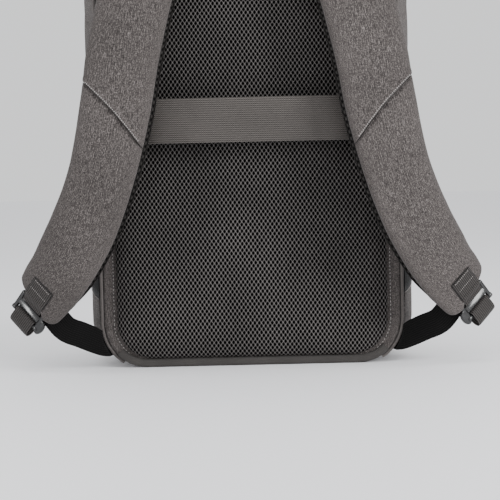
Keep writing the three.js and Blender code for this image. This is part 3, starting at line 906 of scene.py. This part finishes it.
# Shoulder straps: rise, spread and stand are shares of the bag's height, half its width and the strap's stand
strap = {
    "width": 70, "thickness": 12, "stand": 62, "meshThickness": 2.5, "meshShift": 2.5, "meshGap": 0.7,
    "seamOuter": 0.453, "seamInner": 0.551, "groove": 1.8, "grooveReach": 2.8, "foldReach": 0.8,
    "foldLift": 1.1, "swell": 0.08, "tipStart": 0.966, "tipRound": (0.42, 0.60), "tipShift": (3.5, 4.5),
    "tongue": 7, "channel": (-0.34, 0.05, 0.9),
    "rows": [
        (0.971, 0.580, 0.180, 0.97, 0.50, 4), (0.936, 0.600, 0.360, 0.99, 0.80, 6),
        (0.876, 0.640, 0.613, 1.00, 1.00, 8), (0.767, 0.731, 0.855, 1.00, 1.00, 11),
        (0.655, 0.811, 0.952, 1.00, 1.00, 13), (0.544, 0.870, 1.000, 0.98, 1.00, 14),
        (0.422, 0.960, 1.000, 0.93, 1.00, 16), (0.311, 1.084, 0.944, 0.92, 1.00, 18),
        (0.233, 1.206, 0.839, 0.87, 1.00, 22), (0.180, 1.308, 0.710, 0.80, 0.85, 26),
        (0.141, 1.400, 0.580, 0.68, 0.45, 30),
    ],
    "section": [
        (-0.5, -0.5), (-0.47, -0.18), (-0.38, -0.03), (-0.15, 0.06), (0.15, 0.06), (0.38, -0.03),
        (0.47, -0.18), (0.5, -0.5), (0.46, -0.88), (0.36, -1), (-0.36, -1), (-0.46, -0.88),
    ],
}
strapLine = [
    Vector((spread * bag["backHalf"], backPlane - stand * strap["stand"], rise * bag["height"]))
    for rise, spread, stand, _, _, _ in strap["rows"]
]
strapLength = evenly(lambda share: splinePoint(strapLine, share))[1]


def strapFrame(side, share):
    course = min(max(share, 0), 1) * (len(strap["rows"]) - 1)
    k = min(int(course), len(strap["rows"]) - 2)
    row = [mix(a, b, course - k) for a, b in zip(strap["rows"][k], strap["rows"][k + 1])]
    mirror = Vector((side, 1, 1))
    at = splinePoint(strapLine, share) * mirror
    along = splineWay(strapLine, share) * mirror
    turn = math.radians(row[5])
    across = along.cross(Vector((side * math.sin(turn), -math.cos(turn), 0))).normalized()
    across *= side * math.copysign(1, across.x)
    out = (across.cross(along) * -side).normalized()
    return {"at": at, "along": along, "across": across, "out": out,
            "width": row[3] * strap["width"], "thickness": row[4] * strap["thickness"]}


def strapPoint(place, a, out):
    return place["at"] + place["across"] * a + place["out"] * out


def closedSection(points, v):
    place = (v % 1.0) * len(points)
    k = int(place)
    t = place - k
    corners = [Vector(points[(k + step) % len(points)]) for step in (-1, 0, 1, 2)]
    p0, p1, p2, p3 = corners
    return 0.5 * (p1 * 2 + (p2 - p0) * t + (p0 * 2 - p1 * 5 + p2 * 4 - p3) * t ** 2
                  + (p1 * 3 - p0 - p2 * 3 + p3) * t ** 3)


def seamShare(a):
    return mix(strap["seamInner"], strap["seamOuter"], a + 0.5)


def strapShift(at):
    return strap["tipShift"][0] * smoothStep(at, 0.6, 0.85)


def strapRipple(side, a, at):
    # Small waves of the cloth over its foam
    wide = noise.noise(Vector((at * 9, a * 1.6, side * 3.1))) * 0.9
    return wide + noise.noise(Vector((at * 34, a * 5.5, side * 5.7))) * 0.28


def strapHalf(side, label, upper):
    trim = bag["gap"] / strapLength
    frames = {}

    def sectionAt(u, v):
        a, out = closedSection(strap["section"], v)
        share = (1 - math.cos(math.pi * u)) / 2
        seam = seamShare(a)
        if upper:
            return a, out, mix(0.0, seam - trim, share), (1 - share) * seam * strapLength
        return a, out, mix(seam + trim, 1.0, share), share * (1 - seam) * strapLength

    def placeAt(u, v):
        a, out, at, fromSeam = sectionAt(u, v)
        key = round(at, 6)
        if key not in frames:
            frames[key] = strapFrame(side, at)
        place = frames[key]
        tip = min(max((at - strap["tipStart"]) / (1 - strap["tipStart"]), 0), 1)
        width = place["width"] * (1 + strap["swell"] * smoothStep(at, 0.6, 0.85))
        width *= mix(1, math.sqrt(1 - tip * tip), strap["tipRound"][a > 0])
        ripple = strapRipple(side, a, at)
        if out > -0.45:
            reach = strap["foldReach"] if upper else strap["grooveReach"]
            ripple -= strap["groove"] * (1 - smoothStep(fromSeam, 0, reach))
            if upper:
                fold = smoothStep(fromSeam, 0, 1.2) * (1 - smoothStep(fromSeam, 2.2, 5))
                ripple += strap["foldLift"] * fold
            ripple += 0.4 * smoothStep(fromSeam, 2, 14)
        middle, breadth, depth = strap["channel"]
        if out > -0.45 and not upper:
            sewn = smoothStep(fromSeam, 4, 30) * (1 - smoothStep(at, 0.93, 0.97))
            ripple -= depth * sewn * math.exp(-((a - middle) / breadth) ** 2)
        shift = strapShift(at) + strap["tipShift"][1] * smoothStep(at, 0.82, 0.96) * smoothStep(a, -0.1, 0.5)
        past = strap["tongue"] * smoothStep(at, 0.92, 1) * smoothStep(-a, 0.18, 0.42)
        stood = out * place["thickness"] + (ripple if out > -0.6 else 0)
        return strapPoint(place, a * width + shift, stood) + place["along"] * past

    def clothAt(u, v):
        return sectionAt(u, v)[2] * strapLength, v * 155

    bm = gridMesh(96, 52, placeAt, clothAt, wrap=True)
    closeEnds(bm)
    half = "upper" if upper else "lower"
    name = f"strap_{half}_{label}"
    piece = makePiece(name + "_padded", bm, [melange], [name])
    return piece


def strapMesh(side, label):
    look = {"strand": 0.5, "drop": 0.9}
    start, end = 0.12, 0.955
    tickAt, length = evenly(lambda share: splinePoint(strapLine, share), start, end)
    deep, halfMost = strap["meshThickness"], 0.5 * strap["width"]

    def placeAt(x, y, height):
        along = y / length + 0.5
        place = strapFrame(side, tickAt(along))
        half = place["width"] * mix(0.49, 0.42, smoothStep(along, 0.9, 1.0))
        shift = strap["meshShift"] - 0.8 * strapShift(tickAt(along))
        bend = x / halfMost
        rise = smoothStep(abs(bend), 0.86, 1.0) * (deep - 0.3)
        return strapPoint(place, max(-1.0, min(1.0, bend * 1.1)) * half - shift,
                          -place["thickness"] - strap["meshGap"] - deep + rise - height)

    def snap(x, y):
        return max(-halfMost, min(halfMost, x)), max(-length / 2, min(length / 2, y))

    bm = airMesh(2 * halfMost, length, lambda x, y: abs(x) < halfMost and abs(y) < length / 2,
                 lambda x, y: abs(x) < 0.82 * halfMost, snap, placeAt, look)
    stops = [strapFrame(side, mix(start, end, k / 40)) for k in range(41)]
    for vert in grownRim(bm):
        nearest = min(stops, key=lambda stop: (stop["at"] - vert.co / mm).length)
        vert.co += nearest["out"] * 0.3 * mm
    lining = makePiece(f"strap_mesh_{label}_knit", bm, [strandKnit, pitShade],
                       [f"strap_mesh_{label}"], closed=False)


for side, label in sides:
    strapHalf(side, label, True)
    strapHalf(side, label, False)
    strapMesh(side, label)
print("straps ready")


# Ladder locks, the sewn patch over each first bar and the adjuster webbing
lock = {"width": 36, "length": 22, "thickness": 4, "bar": 4, "slot": 27.5, "web": 25, "webThickness": 1.6,
        "patch": 35, "tail": 62, "ear": 2.6, "lobe": (4.9, 7.8), "crease": 17, "outwards": 8}
lockDrop = lock["thickness"] / 2 + 1.5


def lockFrame(side):
    end = strapFrame(side, 1)
    beyondEnd = bag["gap"] + 1.2 + lock["length"] / 2
    middle = strapPoint(end, lock["outwards"], -lockDrop) + end["along"] * beyondEnd

    def place(a, beyond, out):
        return middle + end["across"] * a + end["along"] * beyond + end["out"] * out

    return {**end, "middle": middle, "place": place}


def ladderLock(side, label):
    held = lockFrame(side)
    bm = bmesh.new()
    rail = (lock["width"] - lock["slot"]) / 2
    halfLength = lock["length"] / 2

    def block(centre, size, corner, tilt=0):
        placed = Matrix.Translation(centre) @ Matrix.Rotation(math.radians(tilt), 4, "X")
        made = bmesh.ops.create_cube(bm, size=1.0, matrix=placed @ Matrix.Diagonal((*size, 1)))
        roundEdges(bm, edgesOf(made), corner)

    for way in (-1, 1):
        block((way * (lock["slot"] + rail) / 2, 0, 0), (rail, lock["length"], lock["thickness"]), 1.3)
        ear = Matrix.Translation((way * (lock["slot"] + rail) / 2, halfLength - 2.6, 0.2))
        ear = ear @ Matrix.Rotation(math.pi / 2, 4, "Y")
        made = bmesh.ops.create_cone(bm, cap_ends=True, segments=24, radius1=lock["ear"],
                                     radius2=lock["ear"], depth=rail + 0.6, matrix=ear)
        roundEdges(bm, rimsOf(made), 0.7, 2)
    lobe = Matrix.Translation((side * (lock["slot"] / 2 + 4.6), 4.6, 0.2))
    lobe = lobe @ Matrix.Diagonal((*lock["lobe"], 1, 1))
    made = bmesh.ops.create_cone(bm, cap_ends=True, segments=40, radius1=1, radius2=1, depth=3.4, matrix=lobe)
    roundEdges(bm, rimsOf(made), 0.9)
    barLong = lock["slot"] + 1.2
    block((0, -halfLength + lock["bar"] / 2, 0), (barLong, lock["bar"], lock["thickness"]), 1.5)
    block((0, -0.5, 0.5), (barLong, 5.8, lock["thickness"] - 0.2), 0.6, 16)
    block((0, halfLength - lock["bar"] / 2, 0), (barLong, lock["bar"], lock["thickness"] - 0.2), 1.4)
    for k in range(9):
        block((-12 + 3 * k, 2.75, 1.1), (1.5, 1.1, 1.2), 0.3)
    seated = axesMatrix(held["middle"], held["across"] * -side, held["along"], held["out"])
    bmesh.ops.transform(bm, verts=bm.verts[:], matrix=seated)
    smoothFaces(bm)
    flatCloth(bm)
    makePiece(f"ladder_lock_{label}_moulded", bm, [lockPlastic], [f"ladder_lock_{label}"])


def webbingPiece(node, rows, columns, finish, creaseAt=None):
    bm = ribbonMesh(rows, lock["web"], lock["webThickness"], columns, creaseAt=creaseAt)
    makePiece(node + "_web", bm, [finish], [node])


def strapPatch(side, label):
    held = lockFrame(side)
    stand = bag["gap"] + lock["webThickness"] / 2 + 0.06 * strap["thickness"]
    bar = -lock["length"] / 2 + lock["bar"]
    over = lock["thickness"] / 2 + bag["gap"] + lock["webThickness"] / 2
    rows = []
    for k in range(5):
        share = mix(1 - lock["patch"] / strapLength, 1, k / 4)
        rows.append((strapPoint(strapFrame(side, share), lock["outwards"], stand), held["across"]))
    for beyond, out in ((bar - 2, over), (bar + 1.4, over - 0.2), (bar + 2.4, 1.2), (bar + 2.4, -1.2),
                        (bar + 1.4, 0.2 - over), (bar - 2, -over)):
        rows.append((held["place"](0, beyond, out), held["across"]))

    def creaseAt(reach):
        crease = 1 - smoothStep(abs(reach - lock["crease"]), 0.2, 1.1)
        return 0.55 * crease - 0.5 * smoothStep(reach, 17.6, 20)

    webbingPiece(f"strap_patch_{label}", rows, 150, greyWeave, creaseAt)


webLayer = lock["webThickness"] + bag["gap"] + 0.3
freeLayer = -lock["thickness"] / 2 - 2 * bag["gap"] - 1.5 * lock["webThickness"] - 0.4
bightLayer = freeLayer - webLayer
runLayer = bightLayer - webLayer


def adjusterRun(side, label):
    held = lockFrame(side)
    course = 1.72 if side > 0 else courseLength - 1.72
    seat = bag["gap"] + lock["webThickness"] / 2
    seamAcross = Vector((side * 0.51, 0, 0.86))
    rows = [(bodyPoint(course, reach / bag["baseDepth"], seat + 0.4), seamAcross) for reach in (4, 1)]
    seam = bodyPoint(course, 0, 3.2 + bag["gap"] + seat + 0.3)
    for x, y, z, across in ((0, -1, 0, (0.51, 0, 0.86)), (0.5, -5, 0.5, (0.4, 0, 0.9)),
                            (7, -12, 5, (0.15, 0, 0.98)), (20, -20.5, 12, (-0.15, 0, 0.98)),
                            (34, -27, 19, (-0.3, 0, 0.95))):
        rows.append((seam + Vector((side * x, y, z)), Vector((side * across[0], across[1], across[2]))))
    level = held["across"] * 0.77 + held["along"] * 0.64
    foldAcross = held["out"].cross(level) * side
    for a, beyond in ((-10.8, -9), (0, 0)):
        rows.append((held["place"](a, beyond, runLayer), foldAcross))
    # The run takes the near-black painted shade copy of the tail webbing
    webbingPiece(f"adjuster_webbing_{label}", rows, 80, shadedRunWeave)


def adjusterTail(side, label):
    held = lockFrame(side)
    over = lock["thickness"] / 2 + bag["gap"] + lock["webThickness"] / 2
    end = lock["length"] / 2
    slot = end - lock["bar"] - 2.4
    rows = [(held["place"](0, beyond, out), held["across"]) for beyond, out in (
        (-end + 4, bightLayer), (end - 2, bightLayer), (end + 5, bightLayer + 0.4),
        (end + 9.5, bightLayer + 2.6), (end + 11, bightLayer + 5.5), (end + 9.5, over - 1.6),
        (end + 5, over + 0.5), (end - 1, over + 0.2), (slot + 1, over - 0.2), (slot, 1.2), (slot - 0.2, -2),
        (slot - 2, freeLayer + 0.9), (slot - 5, freeLayer), (-end, freeLayer))]
    for k in range(6):
        share = mix(1 - 12 / strapLength, 1 - lock["tail"] / strapLength, k / 5)
        place = strapFrame(side, share)
        below = place["thickness"] + strap["meshGap"] + strap["meshThickness"]
        below += bag["gap"] + lock["webThickness"] / 2
        rows.append((strapPoint(place, lock["outwards"], -below - (1.2 if k else 0)), place["across"]))
    webbingPiece(f"adjuster_tail_{label}", rows, 130, tailWeave)


for side, label in sides:
    ladderLock(side, label)
    strapPatch(side, label)
    adjusterRun(side, label)
    adjusterTail(side, label)
print("locks and webbing ready")


# Luggage band
band = {"width": 42, "thickness": 2, "height": 235, "stand": 33, "flat": 184, "reach": 139}


def luggageBand():
    seat = padBack - band["thickness"] / 2
    stand = seat - band["stand"]
    reach, flat = band["reach"], band["flat"]
    half = [(reach, seat), (reach - 5, seat - 0.4), (reach - 13, seat - 8.5),
            ((reach + flat / 2) / 2, mix(seat, stand, 0.6)), (flat / 2 + 3, stand + 2), (flat / 2 - 4, stand),
            (flat / 5, stand - 1.5)]
    upright = Vector((0, 0, 1))
    rows = [(Vector((-x, y, band["height"])), upright) for x, y in half]
    rows += [(Vector((x, y, band["height"])), upright) for x, y in reversed(half)]
    bm = ribbonMesh(rows, band["width"], band["thickness"], 130, 28)
    makePiece("luggage_band_web", bm, [bandWeave], ["luggage_band"])


luggageBand()
print("luggage band ready")


# Side pockets with a stretch hem
pocket = {"mouth": 93, "rise": 38, "hem": 28, "wall": 1.5, "stand": 6.5, "margin": 6, "seat": 0.7,
          "foot": 1.62, "full": 2.15, "flat": (0.145, 0.100)}


def pocketPart(name, side, lowAt, highAt, columns, rows, finish, stands, ripple):
    margin = pocket["margin"] / bag["baseDepth"]

    def placeAt(u, v):
        depth = mix(margin, 1 - margin, u)
        along = mix(lowAt(depth), highAt(depth), v)
        course = along if side > 0 else courseLength - along
        middle = 1 - abs(2 * depth - 1) ** 3
        stand = pocket["seat"] + pocket["stand"] * smoothStep(along, pocket["foot"], pocket["full"]) * middle
        lift = stand + pocket["wall"] + ripple(u, v)
        return bodyPoint(course, depth, lift)

    bm = openSheet(columns, rows, placeAt, lambda u, v: (v * 90, u * 150))
    return makePiece(name, bm, [finish], stands, closed=False)


def pocketLine(side, drop):
    margin = pocket["margin"] / bag["baseDepth"]

    def placed(share):
        depth = mix(margin, 1 - margin, share)
        along = courseAtHeight(pocket["mouth"] - drop + pocket["rise"] * depth)
        return (along if side > 0 else courseLength - along), depth

    def pointAt(share):
        course, depth = placed(share)
        stand = pocket["seat"] + pocket["stand"] * (1 - abs(2 * depth - 1) ** 3) + pocket["wall"]
        return bodyPoint(course, depth, stand + 0.25)

    def outAt(share):
        return bodyOut(*placed(share))

    return pointAt, outAt


def sidePocket(side, label):
    def rimAt(drop):
        return lambda depth: courseAtHeight(pocket["mouth"] - drop + pocket["rise"] * depth)

    lowAt, highAt = lambda depth: pocket["foot"], rimAt(pocket["hem"] + bag["gap"])
    wallPiece = pocketPart(f"side_pocket_{label}_cloth", side, lowAt, highAt, 40, 26,
                           melange, [f"side_pocket_{label}"], lambda u, v: 0.0)
    relaxCloth(wallPiece, lambda u, v: 1 - smoothStep(min(u, 1 - u, v * 0.7, (1 - v) * 0.7), 0.0, 0.08),
               sharesOf(40, 26), 0.8, 0.02, 2.2)
    thicken(wallPiece, 1.2)

    def gathers(u, v):
        wave = 0.55 * math.sin(u * 2 * math.pi * 26)
        return wave * smoothStep(v, 0.0, 0.35) * (1 - smoothStep(v, 0.75, 0.95))

    hem = pocketPart(f"pocket_hem_{label}_band", side, rimAt(pocket["hem"]), rimAt(0), 220, 12,
                     stretchCloth, [f"pocket_hem_{label}"], gathers)
    thicken(hem, 1.2, 0)
    rows = [pocketLine(side, pocket["hem"] + 0.6)]
    sewn = sew(f"pocket_hem_stitches_{label}", rows, 2.4, 0.42, paleThread)


for side, label in sides:
    sidePocket(side, label)
print("pockets ready")


# Piping beads, the rolled base binding and the yoke
piping = {"radius": 1.6, "start": 1.36}
binding = {"height": 7.5, "thickness": 5}


def pipingPiece(name, shape, seamAt):
    clear = piping["radius"] + bag["gap"]
    start, end = piping["start"], courseLength - piping["start"]

    def middleAt(course):
        x, z, outX, outZ = outlineAt(shape, course)
        return Vector((x + outX * clear, seamAt(z), z + outZ * clear)), Vector((outX, 0, outZ))

    tickAt, length = evenly(lambda course: middleAt(course)[0], start, end)

    def placeAt(u, v):
        middle, out = middleAt(tickAt(u))
        turn = 2 * math.pi * v
        pucker = 1 + 0.035 * math.sin(u * length / 3.4) * math.cos(turn)
        return middle + (out * math.cos(turn) + Vector((0, math.sin(turn), 0))) * piping["radius"] * pucker

    bm = gridMesh(420, 10, placeAt, spread(length, 10), wrap=True)
    closeEnds(bm)
    makePiece(name + "_bead", bm, [bindingCloth], [name])


def pipingTape(name, shape, seamAt):
    # The bead's sewn edge, held between the gusset and the panel that closes it
    start, end = piping["start"], courseLength - piping["start"]
    tickAt, length = outlineSteps(shape, start, end)

    def placeAt(u, v):
        x, z, _, _ = outlineAt(shape, tickAt(u), mix(-piping["radius"], 1.3, v))
        return Vector((x, seamAt(outlineAt(shape, tickAt(u))[1], v), z))

    bm = gridMesh(300, 2, placeAt, spread(length, 3))
    tape = makePiece(name, bm, [bindingCloth], closed=False)
    thicken(tape, 0.15, 0)


def baseBinding():
    start, end = -gusset["bottomEnd"], gusset["bottomEnd"]
    profile = [(0.03, 0.02), (0.01, 0.3), (0.0, 0.6), (0.08, 0.86), (0.25, 1.0), (0.48, 1.03), (0.7, 0.97),
               (0.88, 0.8), (0.98, 0.55), (1.0, 0.25), (0.98, 0.02), (0.5, 0.0)]
    tickAt, length = outlineSteps(backShape, start, end)

    def placeAt(u, v):
        rise, stand = closedSection(profile, v)
        pucker = 0.16 * noise.noise(Vector((u * length / 7, v * 3, 2.2)))
        x, z, _, _ = outlineAt(backShape, tickAt(u), max(rise, 0.0) * binding["height"])
        return Vector((x, padBack - (stand + pucker * (stand > 0.2)) * binding["thickness"], z))

    bm = gridMesh(150, 24, placeAt, spread(length, 26), wrap=True)
    closeEnds(bm)
    makePiece("base_binding_roll", bm, [shadedBaseTape], ["base_binding"])


yoke = {"width": 236, "height": 34, "thickness": 3.5, "bottom": 404}


def yokePanel():
    bm = bmesh.new()
    middle = Vector((0, padBack - yoke["thickness"] / 2, yoke["bottom"] + yoke["height"] / 2)) * mm
    size = (yoke["width"] * mm, yoke["thickness"] * mm, yoke["height"] * mm, 1)
    bmesh.ops.create_cube(bm, size=1.0, matrix=Matrix.Translation(middle) @ Matrix.Diagonal(size))
    roundEdges(bm, bm.edges, 1.2 * mm)
    smoothFaces(bm)
    bmesh.ops.recalc_face_normals(bm, faces=bm.faces[:])
    flatCloth(bm)
    makePiece("yoke_panel_cover", bm, [melange], ["yoke_panel"])


pipingPiece("back_piping", backShape, lambda z: backPlane + piping["radius"])
pipingPiece("front_piping", frontShape, lambda z: frontSeam(z) + bag["gap"] + piping["radius"])
pipingTape("back_piping_tape", backShape, lambda z, v: backPlane + mix(3.7, 4.1, v))
pipingTape("front_piping_tape", frontShape, lambda z, v: frontSeam(z) + mix(0.6, 0.2, v))
baseBinding()
yokePanel()
print("trim ready")


# Haul loop: webbing legs on the yoke and a padded grip
loop = {"width": 92, "height": 38, "band": 18, "thickness": 3, "foot": 26}


def haulLoop():
    radius = (loop["width"] - loop["band"]) / 2
    foot = bag["height"] - loop["foot"]
    straight = loop["foot"] + loop["height"] - loop["width"] / 2
    y = padBack - yoke["thickness"] - bag["gap"] - loop["thickness"] / 2

    def lineAt(share):
        legs = straight + math.pi * radius / 2
        reach = (share * 2 - 1) * legs
        way = 1 if reach >= 0 else -1
        down = legs - abs(reach)
        if down < straight:
            return Vector((way * radius, y, foot + down))
        turn = (down - straight) / radius
        return Vector((way * radius * math.cos(turn), y, foot + straight + radius * math.sin(turn)))

    tickAt, length = evenly(lineAt)

    def placeAt(u, v):
        at = lineAt(tickAt(u))
        along = (lineAt(tickAt(min(u + 0.004, 1))) - lineAt(tickAt(max(u - 0.004, 0)))).normalized()
        across = along.cross(Vector((0, 1, 0))).normalized()
        grip = smoothStep(min(u, 1 - u), 0.24, 0.36)
        a, o = roundSection(v, loop["band"] * mix(1, 0.97, grip), loop["thickness"] * mix(0.9, 1.9, grip),
                            mix(0.32, 0.8, grip))
        return at + across * a + Vector((0, -1, 0)) * (o + 0.9 * grip * loop["thickness"] / 2)

    bm = gridMesh(130, 22, placeAt, lambda u, v: (u * length, 9 + roundSection(v, 18, 1)[0]), wrap=True)
    closeEnds(bm)
    makePiece("haul_loop_web", bm, [greyWeave], ["haul_loop"])


haulLoop()


# Zip: tape, two rows of coil, a slider and its pull
zipLook = {"coilPitch": 1.7, "coilWidth": 2.1, "coilHigh": 0.9, "lift": 0.55, "tape": 0.55,
           "pullLength": 27, "pullWidth": 7, "pullThickness": 1.6, "slider": 11}


def zipper():
    start, end = gusset["zipStart"], courseLength - gusset["zipStart"]
    share = gusset["zipTape"] / bag["baseDepth"] / 2
    tickAt, length = evenly(lambda course: bodyPoint(course, gusset["zipDepth"]), start, end)

    def placeAt(u, v):
        low, high = gusset["zipDepth"] - share, gusset["zipDepth"] + share
        return bodyPoint(tickAt(u), mix(low, high, v), zipLook["lift"] + zipLook["tape"])

    bm = openSheet(220, 6, placeAt, spread(length, gusset["zipTape"]))
    tape = makePiece("main_zipper_tape", bm, [stretchCloth], ["main_zipper"], closed=False)
    thicken(tape, zipLook["tape"], 0)

    coils = bmesh.new()
    count = int(length / zipLook["coilPitch"])
    for k in range(count):
        course = tickAt((k + 0.5) / count)
        way = 1 if k % 2 else -1
        depth = gusset["zipDepth"] + way * 0.55 / bag["baseDepth"]
        out = bodyOut(course, depth)
        at = bodyPoint(course, depth, zipLook["lift"] + zipLook["tape"] + zipLook["coilHigh"] / 2)
        along = (bodyPoint(course + 0.004, depth) - bodyPoint(course - 0.004, depth)).normalized()
        side = along.cross(out).normalized()
        high = out * zipLook["coilHigh"] / 2
        turned = axesMatrix(at, along * 0.62, side * zipLook["coilWidth"] / 2, high)
        bmesh.ops.create_uvsphere(coils, u_segments=6, v_segments=4, radius=1.0, matrix=turned)
    smoothFaces(coils)
    makePiece("main_zipper_coil", coils, [coilPlastic])


def sliderAndPull():
    depth = gusset["zipDepth"]
    base = bodyPoint(4.5, depth)
    out = bodyOut(4.5, depth)
    along = Vector((1, 0, 0))
    side = along.cross(out).normalized()

    def placed(a, b, c):
        return axesMatrix(base + along * a + side * b + out * c, along, side, out)

    bm = bmesh.new()
    body = placed(9.5, 0, 2.3)
    bmesh.ops.create_cube(bm, size=1.0, matrix=body @ Matrix.Diagonal((zipLook["slider"], 7.4, 2.4, 1)))
    for vert in bm.verts:
        local = body.inverted() @ vert.co
        if local.x > 0:
            local.y *= 0.72
        vert.co = body @ local
    roundEdges(bm, bm.edges, 0.9 * mm)
    bridge = placed(9.0, 0, 4.0) @ Matrix.Diagonal((7.5, 2.4, 1.5, 1))
    roundEdges(bm, edgesOf(bmesh.ops.create_cube(bm, size=1.0, matrix=bridge)), 0.6 * mm)
    smoothFaces(bm)
    flatCloth(bm)
    makePiece("zipper_slider", bm, [sliderMetal])

    pull = bmesh.new()
    bmesh.ops.create_circle(pull, cap_ends=True, segments=40, radius=zipLook["pullWidth"] / 2)
    stretch = zipLook["pullLength"] - zipLook["pullWidth"]
    for vert in pull.verts:
        vert.co.x += stretch / 2 if vert.co.x > 0 else -stretch / 2
    ring = bmesh.ops.inset_region(pull, faces=pull.faces[:], thickness=1.5, use_boundary=True,
                                  use_even_offset=True)["faces"]
    inner = [face for face in pull.faces if face not in set(ring)]
    bmesh.ops.delete(pull, geom=inner, context="FACES")
    bmesh.ops.recalc_face_normals(pull, faces=pull.faces[:])
    bmesh.ops.solidify(pull, geom=pull.faces[:], thickness=zipLook["pullThickness"])
    rims = [edge for edge in pull.edges if len(edge.link_faces) == 2 and edge.calc_face_angle(0) > 1.2]
    roundEdges(pull, rims, 0.45, 2)
    bmesh.ops.transform(pull, verts=pull.verts[:], matrix=placed(-1.6, 0, 4.0))
    smoothFaces(pull)
    flatCloth(pull)
    makePiece("zipper_pull_tag", pull, [lockPlastic], ["zipper_pull"])


zipper()
sliderAndPull()
print("zip ready")


# Stitching
def backOut(share):
    return Vector((0, -1, 0))


def alongOutline(shape, start, end, inset, yAt):
    def pointAt(share):
        x, z, _, _ = outlineAt(shape, mix(start, end, share), inset)
        return Vector((x, yAt(z), z))
    return pointAt


def frontFace(a):
    points = [
        (0.0, 0.06), (0.15, 0.06), (0.30, 0.01), (0.38, -0.03), (0.44, -0.10), (0.47, -0.18), (0.5, -0.5),
    ]
    a = abs(a)
    for (a0, o0), (a1, o1) in zip(points, points[1:]):
        if a <= a1:
            return mix(o0, o1, (a - a0) / (a1 - a0))
    return points[-1][1]


def acrossStrap(side, past, stand):
    def pointAt(share):
        a = mix(-0.45, 0.45, share)
        at = seamShare(a) + past / strapLength
        place = strapFrame(side, at)
        stood = frontFace(a) * place["thickness"] + strapRipple(side, a, at) + stand
        return strapPoint(place, a * place["width"], stood)

    def outAt(share):
        return strapFrame(side, seamShare(mix(-0.45, 0.45, share)))["out"]

    return pointAt, outAt


def patchLine(side, start, end, stand):
    held = lockFrame(side)

    def pointAt(share):
        place = strapFrame(side, 1 - mix(start[1], end[1], share) / strapLength)
        return strapPoint(place, lock["outwards"], stand) + held["across"] * mix(start[0], end[0], share)

    def outAt(share):
        return strapFrame(side, 1 - mix(start[1], end[1], share) / strapLength)["out"]

    return pointAt, outAt


def flatLine(start, end, y):
    low, high = Vector((start[0], y, start[1])), Vector((end[0], y, end[1]))
    return (lambda share: low.lerp(high, share)), backOut


def sewBag():
    edge = backPlane - 0.1
    around = alongOutline(padShape, 1.42, courseLength - 1.42, -3.2, lambda z: edge)
    sew("pad_stitches", [(around, backOut)], 3.4, 0.45, paleThread)

    seams = [acrossStrap(side, -1.9, strap["foldLift"] + 0.1) for side in (-1, 1)]
    sew("strap_seam_stitches", seams, 2.2, 0.5, paleThread)

    webTop = 0.06 * strap["thickness"] + bag["gap"] + lock["webThickness"] + 0.05
    sewn = [((-10.3, 32.5), (10.3, 32.5)), ((-10.3, 32), (-10.3, 20.5)), ((10.3, 32), (10.3, 20.5)),
            ((-10.3, 20.5), (10.3, 20.5))]
    # A near-black bead line just outside the patch edges: painted shadow of the groove where the patch
    # presses into the strap foam, over its dark edge stitching
    shadowLines = [((-12.8, 35.9), (12.8, 35.9)), ((13.0, 35.6), (13.0, 1)), ((-13.0, 35.6), (-13.0, 1))]
    patchRows = [patchLine(side, *line, webTop) for side in (-1, 1) for line in sewn[1:]]
    topRows = [patchLine(side, *sewn[0], webTop) for side in (-1, 1)]
    shadowRows = [patchLine(side, *line, 1.5) for side in (-1, 1) for line in shadowLines]
    creaseRows = [patchLine(side, (-11, 17.4), (11, 17.4), webTop + 0.1) for side in (-1, 1)]
    sew("patch_stitches", patchRows, 3.0, 0.3, darkThread)
    sew("patch_top_stitches", topRows, 2.2, 0.32, paleThread)
    sew("patch_edge_shadow", shadowRows, 1.6, 0.85, patchShadowThread)
    sew("patch_crease_stitches", creaseRows, 2.0, 0.25, paleThread)

    face = padBack - yoke["thickness"] - 0.05
    rim = 2.6
    half, low, high = yoke["width"] / 2 - rim, yoke["bottom"] + rim, yoke["bottom"] + yoke["height"] - rim
    yokeRows = [flatLine((-half, low), (half, low), face), flatLine((-half, high), (half, high), face),
                flatLine((-half, low), (-half, high), face), flatLine((half, low), (half, high), face)]
    legFace = face - bag["gap"] - loop["thickness"]
    for way in (-1, 1):
        inner, outer = way * 30.5, way * 43.5
        corners = [(inner, 426), (outer, 426), (inner, 437), (outer, 437)]
        for start, end in ((0, 1), (2, 3), (0, 2), (1, 3), (0, 3), (2, 1)):
            yokeRows.append(flatLine(corners[start], corners[end], legFace))
    sew("yoke_stitches", yokeRows, 3.4, 0.3, darkThread)

    frontRow = alongOutline(frontShape, 0, courseLength, 5, lambda z: frontY(5, z) + 0.25)
    sew("front_stitches", [(frontRow, lambda share: Vector((0, 1, 0)))], 4.0, 0.3, darkThread)

    zipRows = []
    for way in (-1, 1):
        depth = gusset["zipDepth"] + way * 4.3 / bag["baseDepth"]

        def zipPoint(share, depth=depth):
            start = gusset["zipStart"] + 0.01
            course = mix(start, courseLength - start, share)
            return bodyPoint(course, depth, zipLook["lift"] + zipLook["tape"] + 0.12)

        def zipOut(share, depth=depth):
            return bodyOut(mix(gusset["zipStart"], courseLength - gusset["zipStart"], share), depth)

        zipRows.append((zipPoint, zipOut))
    sew("zip_stitches", zipRows, 3.6, 0.26, darkThread)


sewBag()
print("stitching ready")
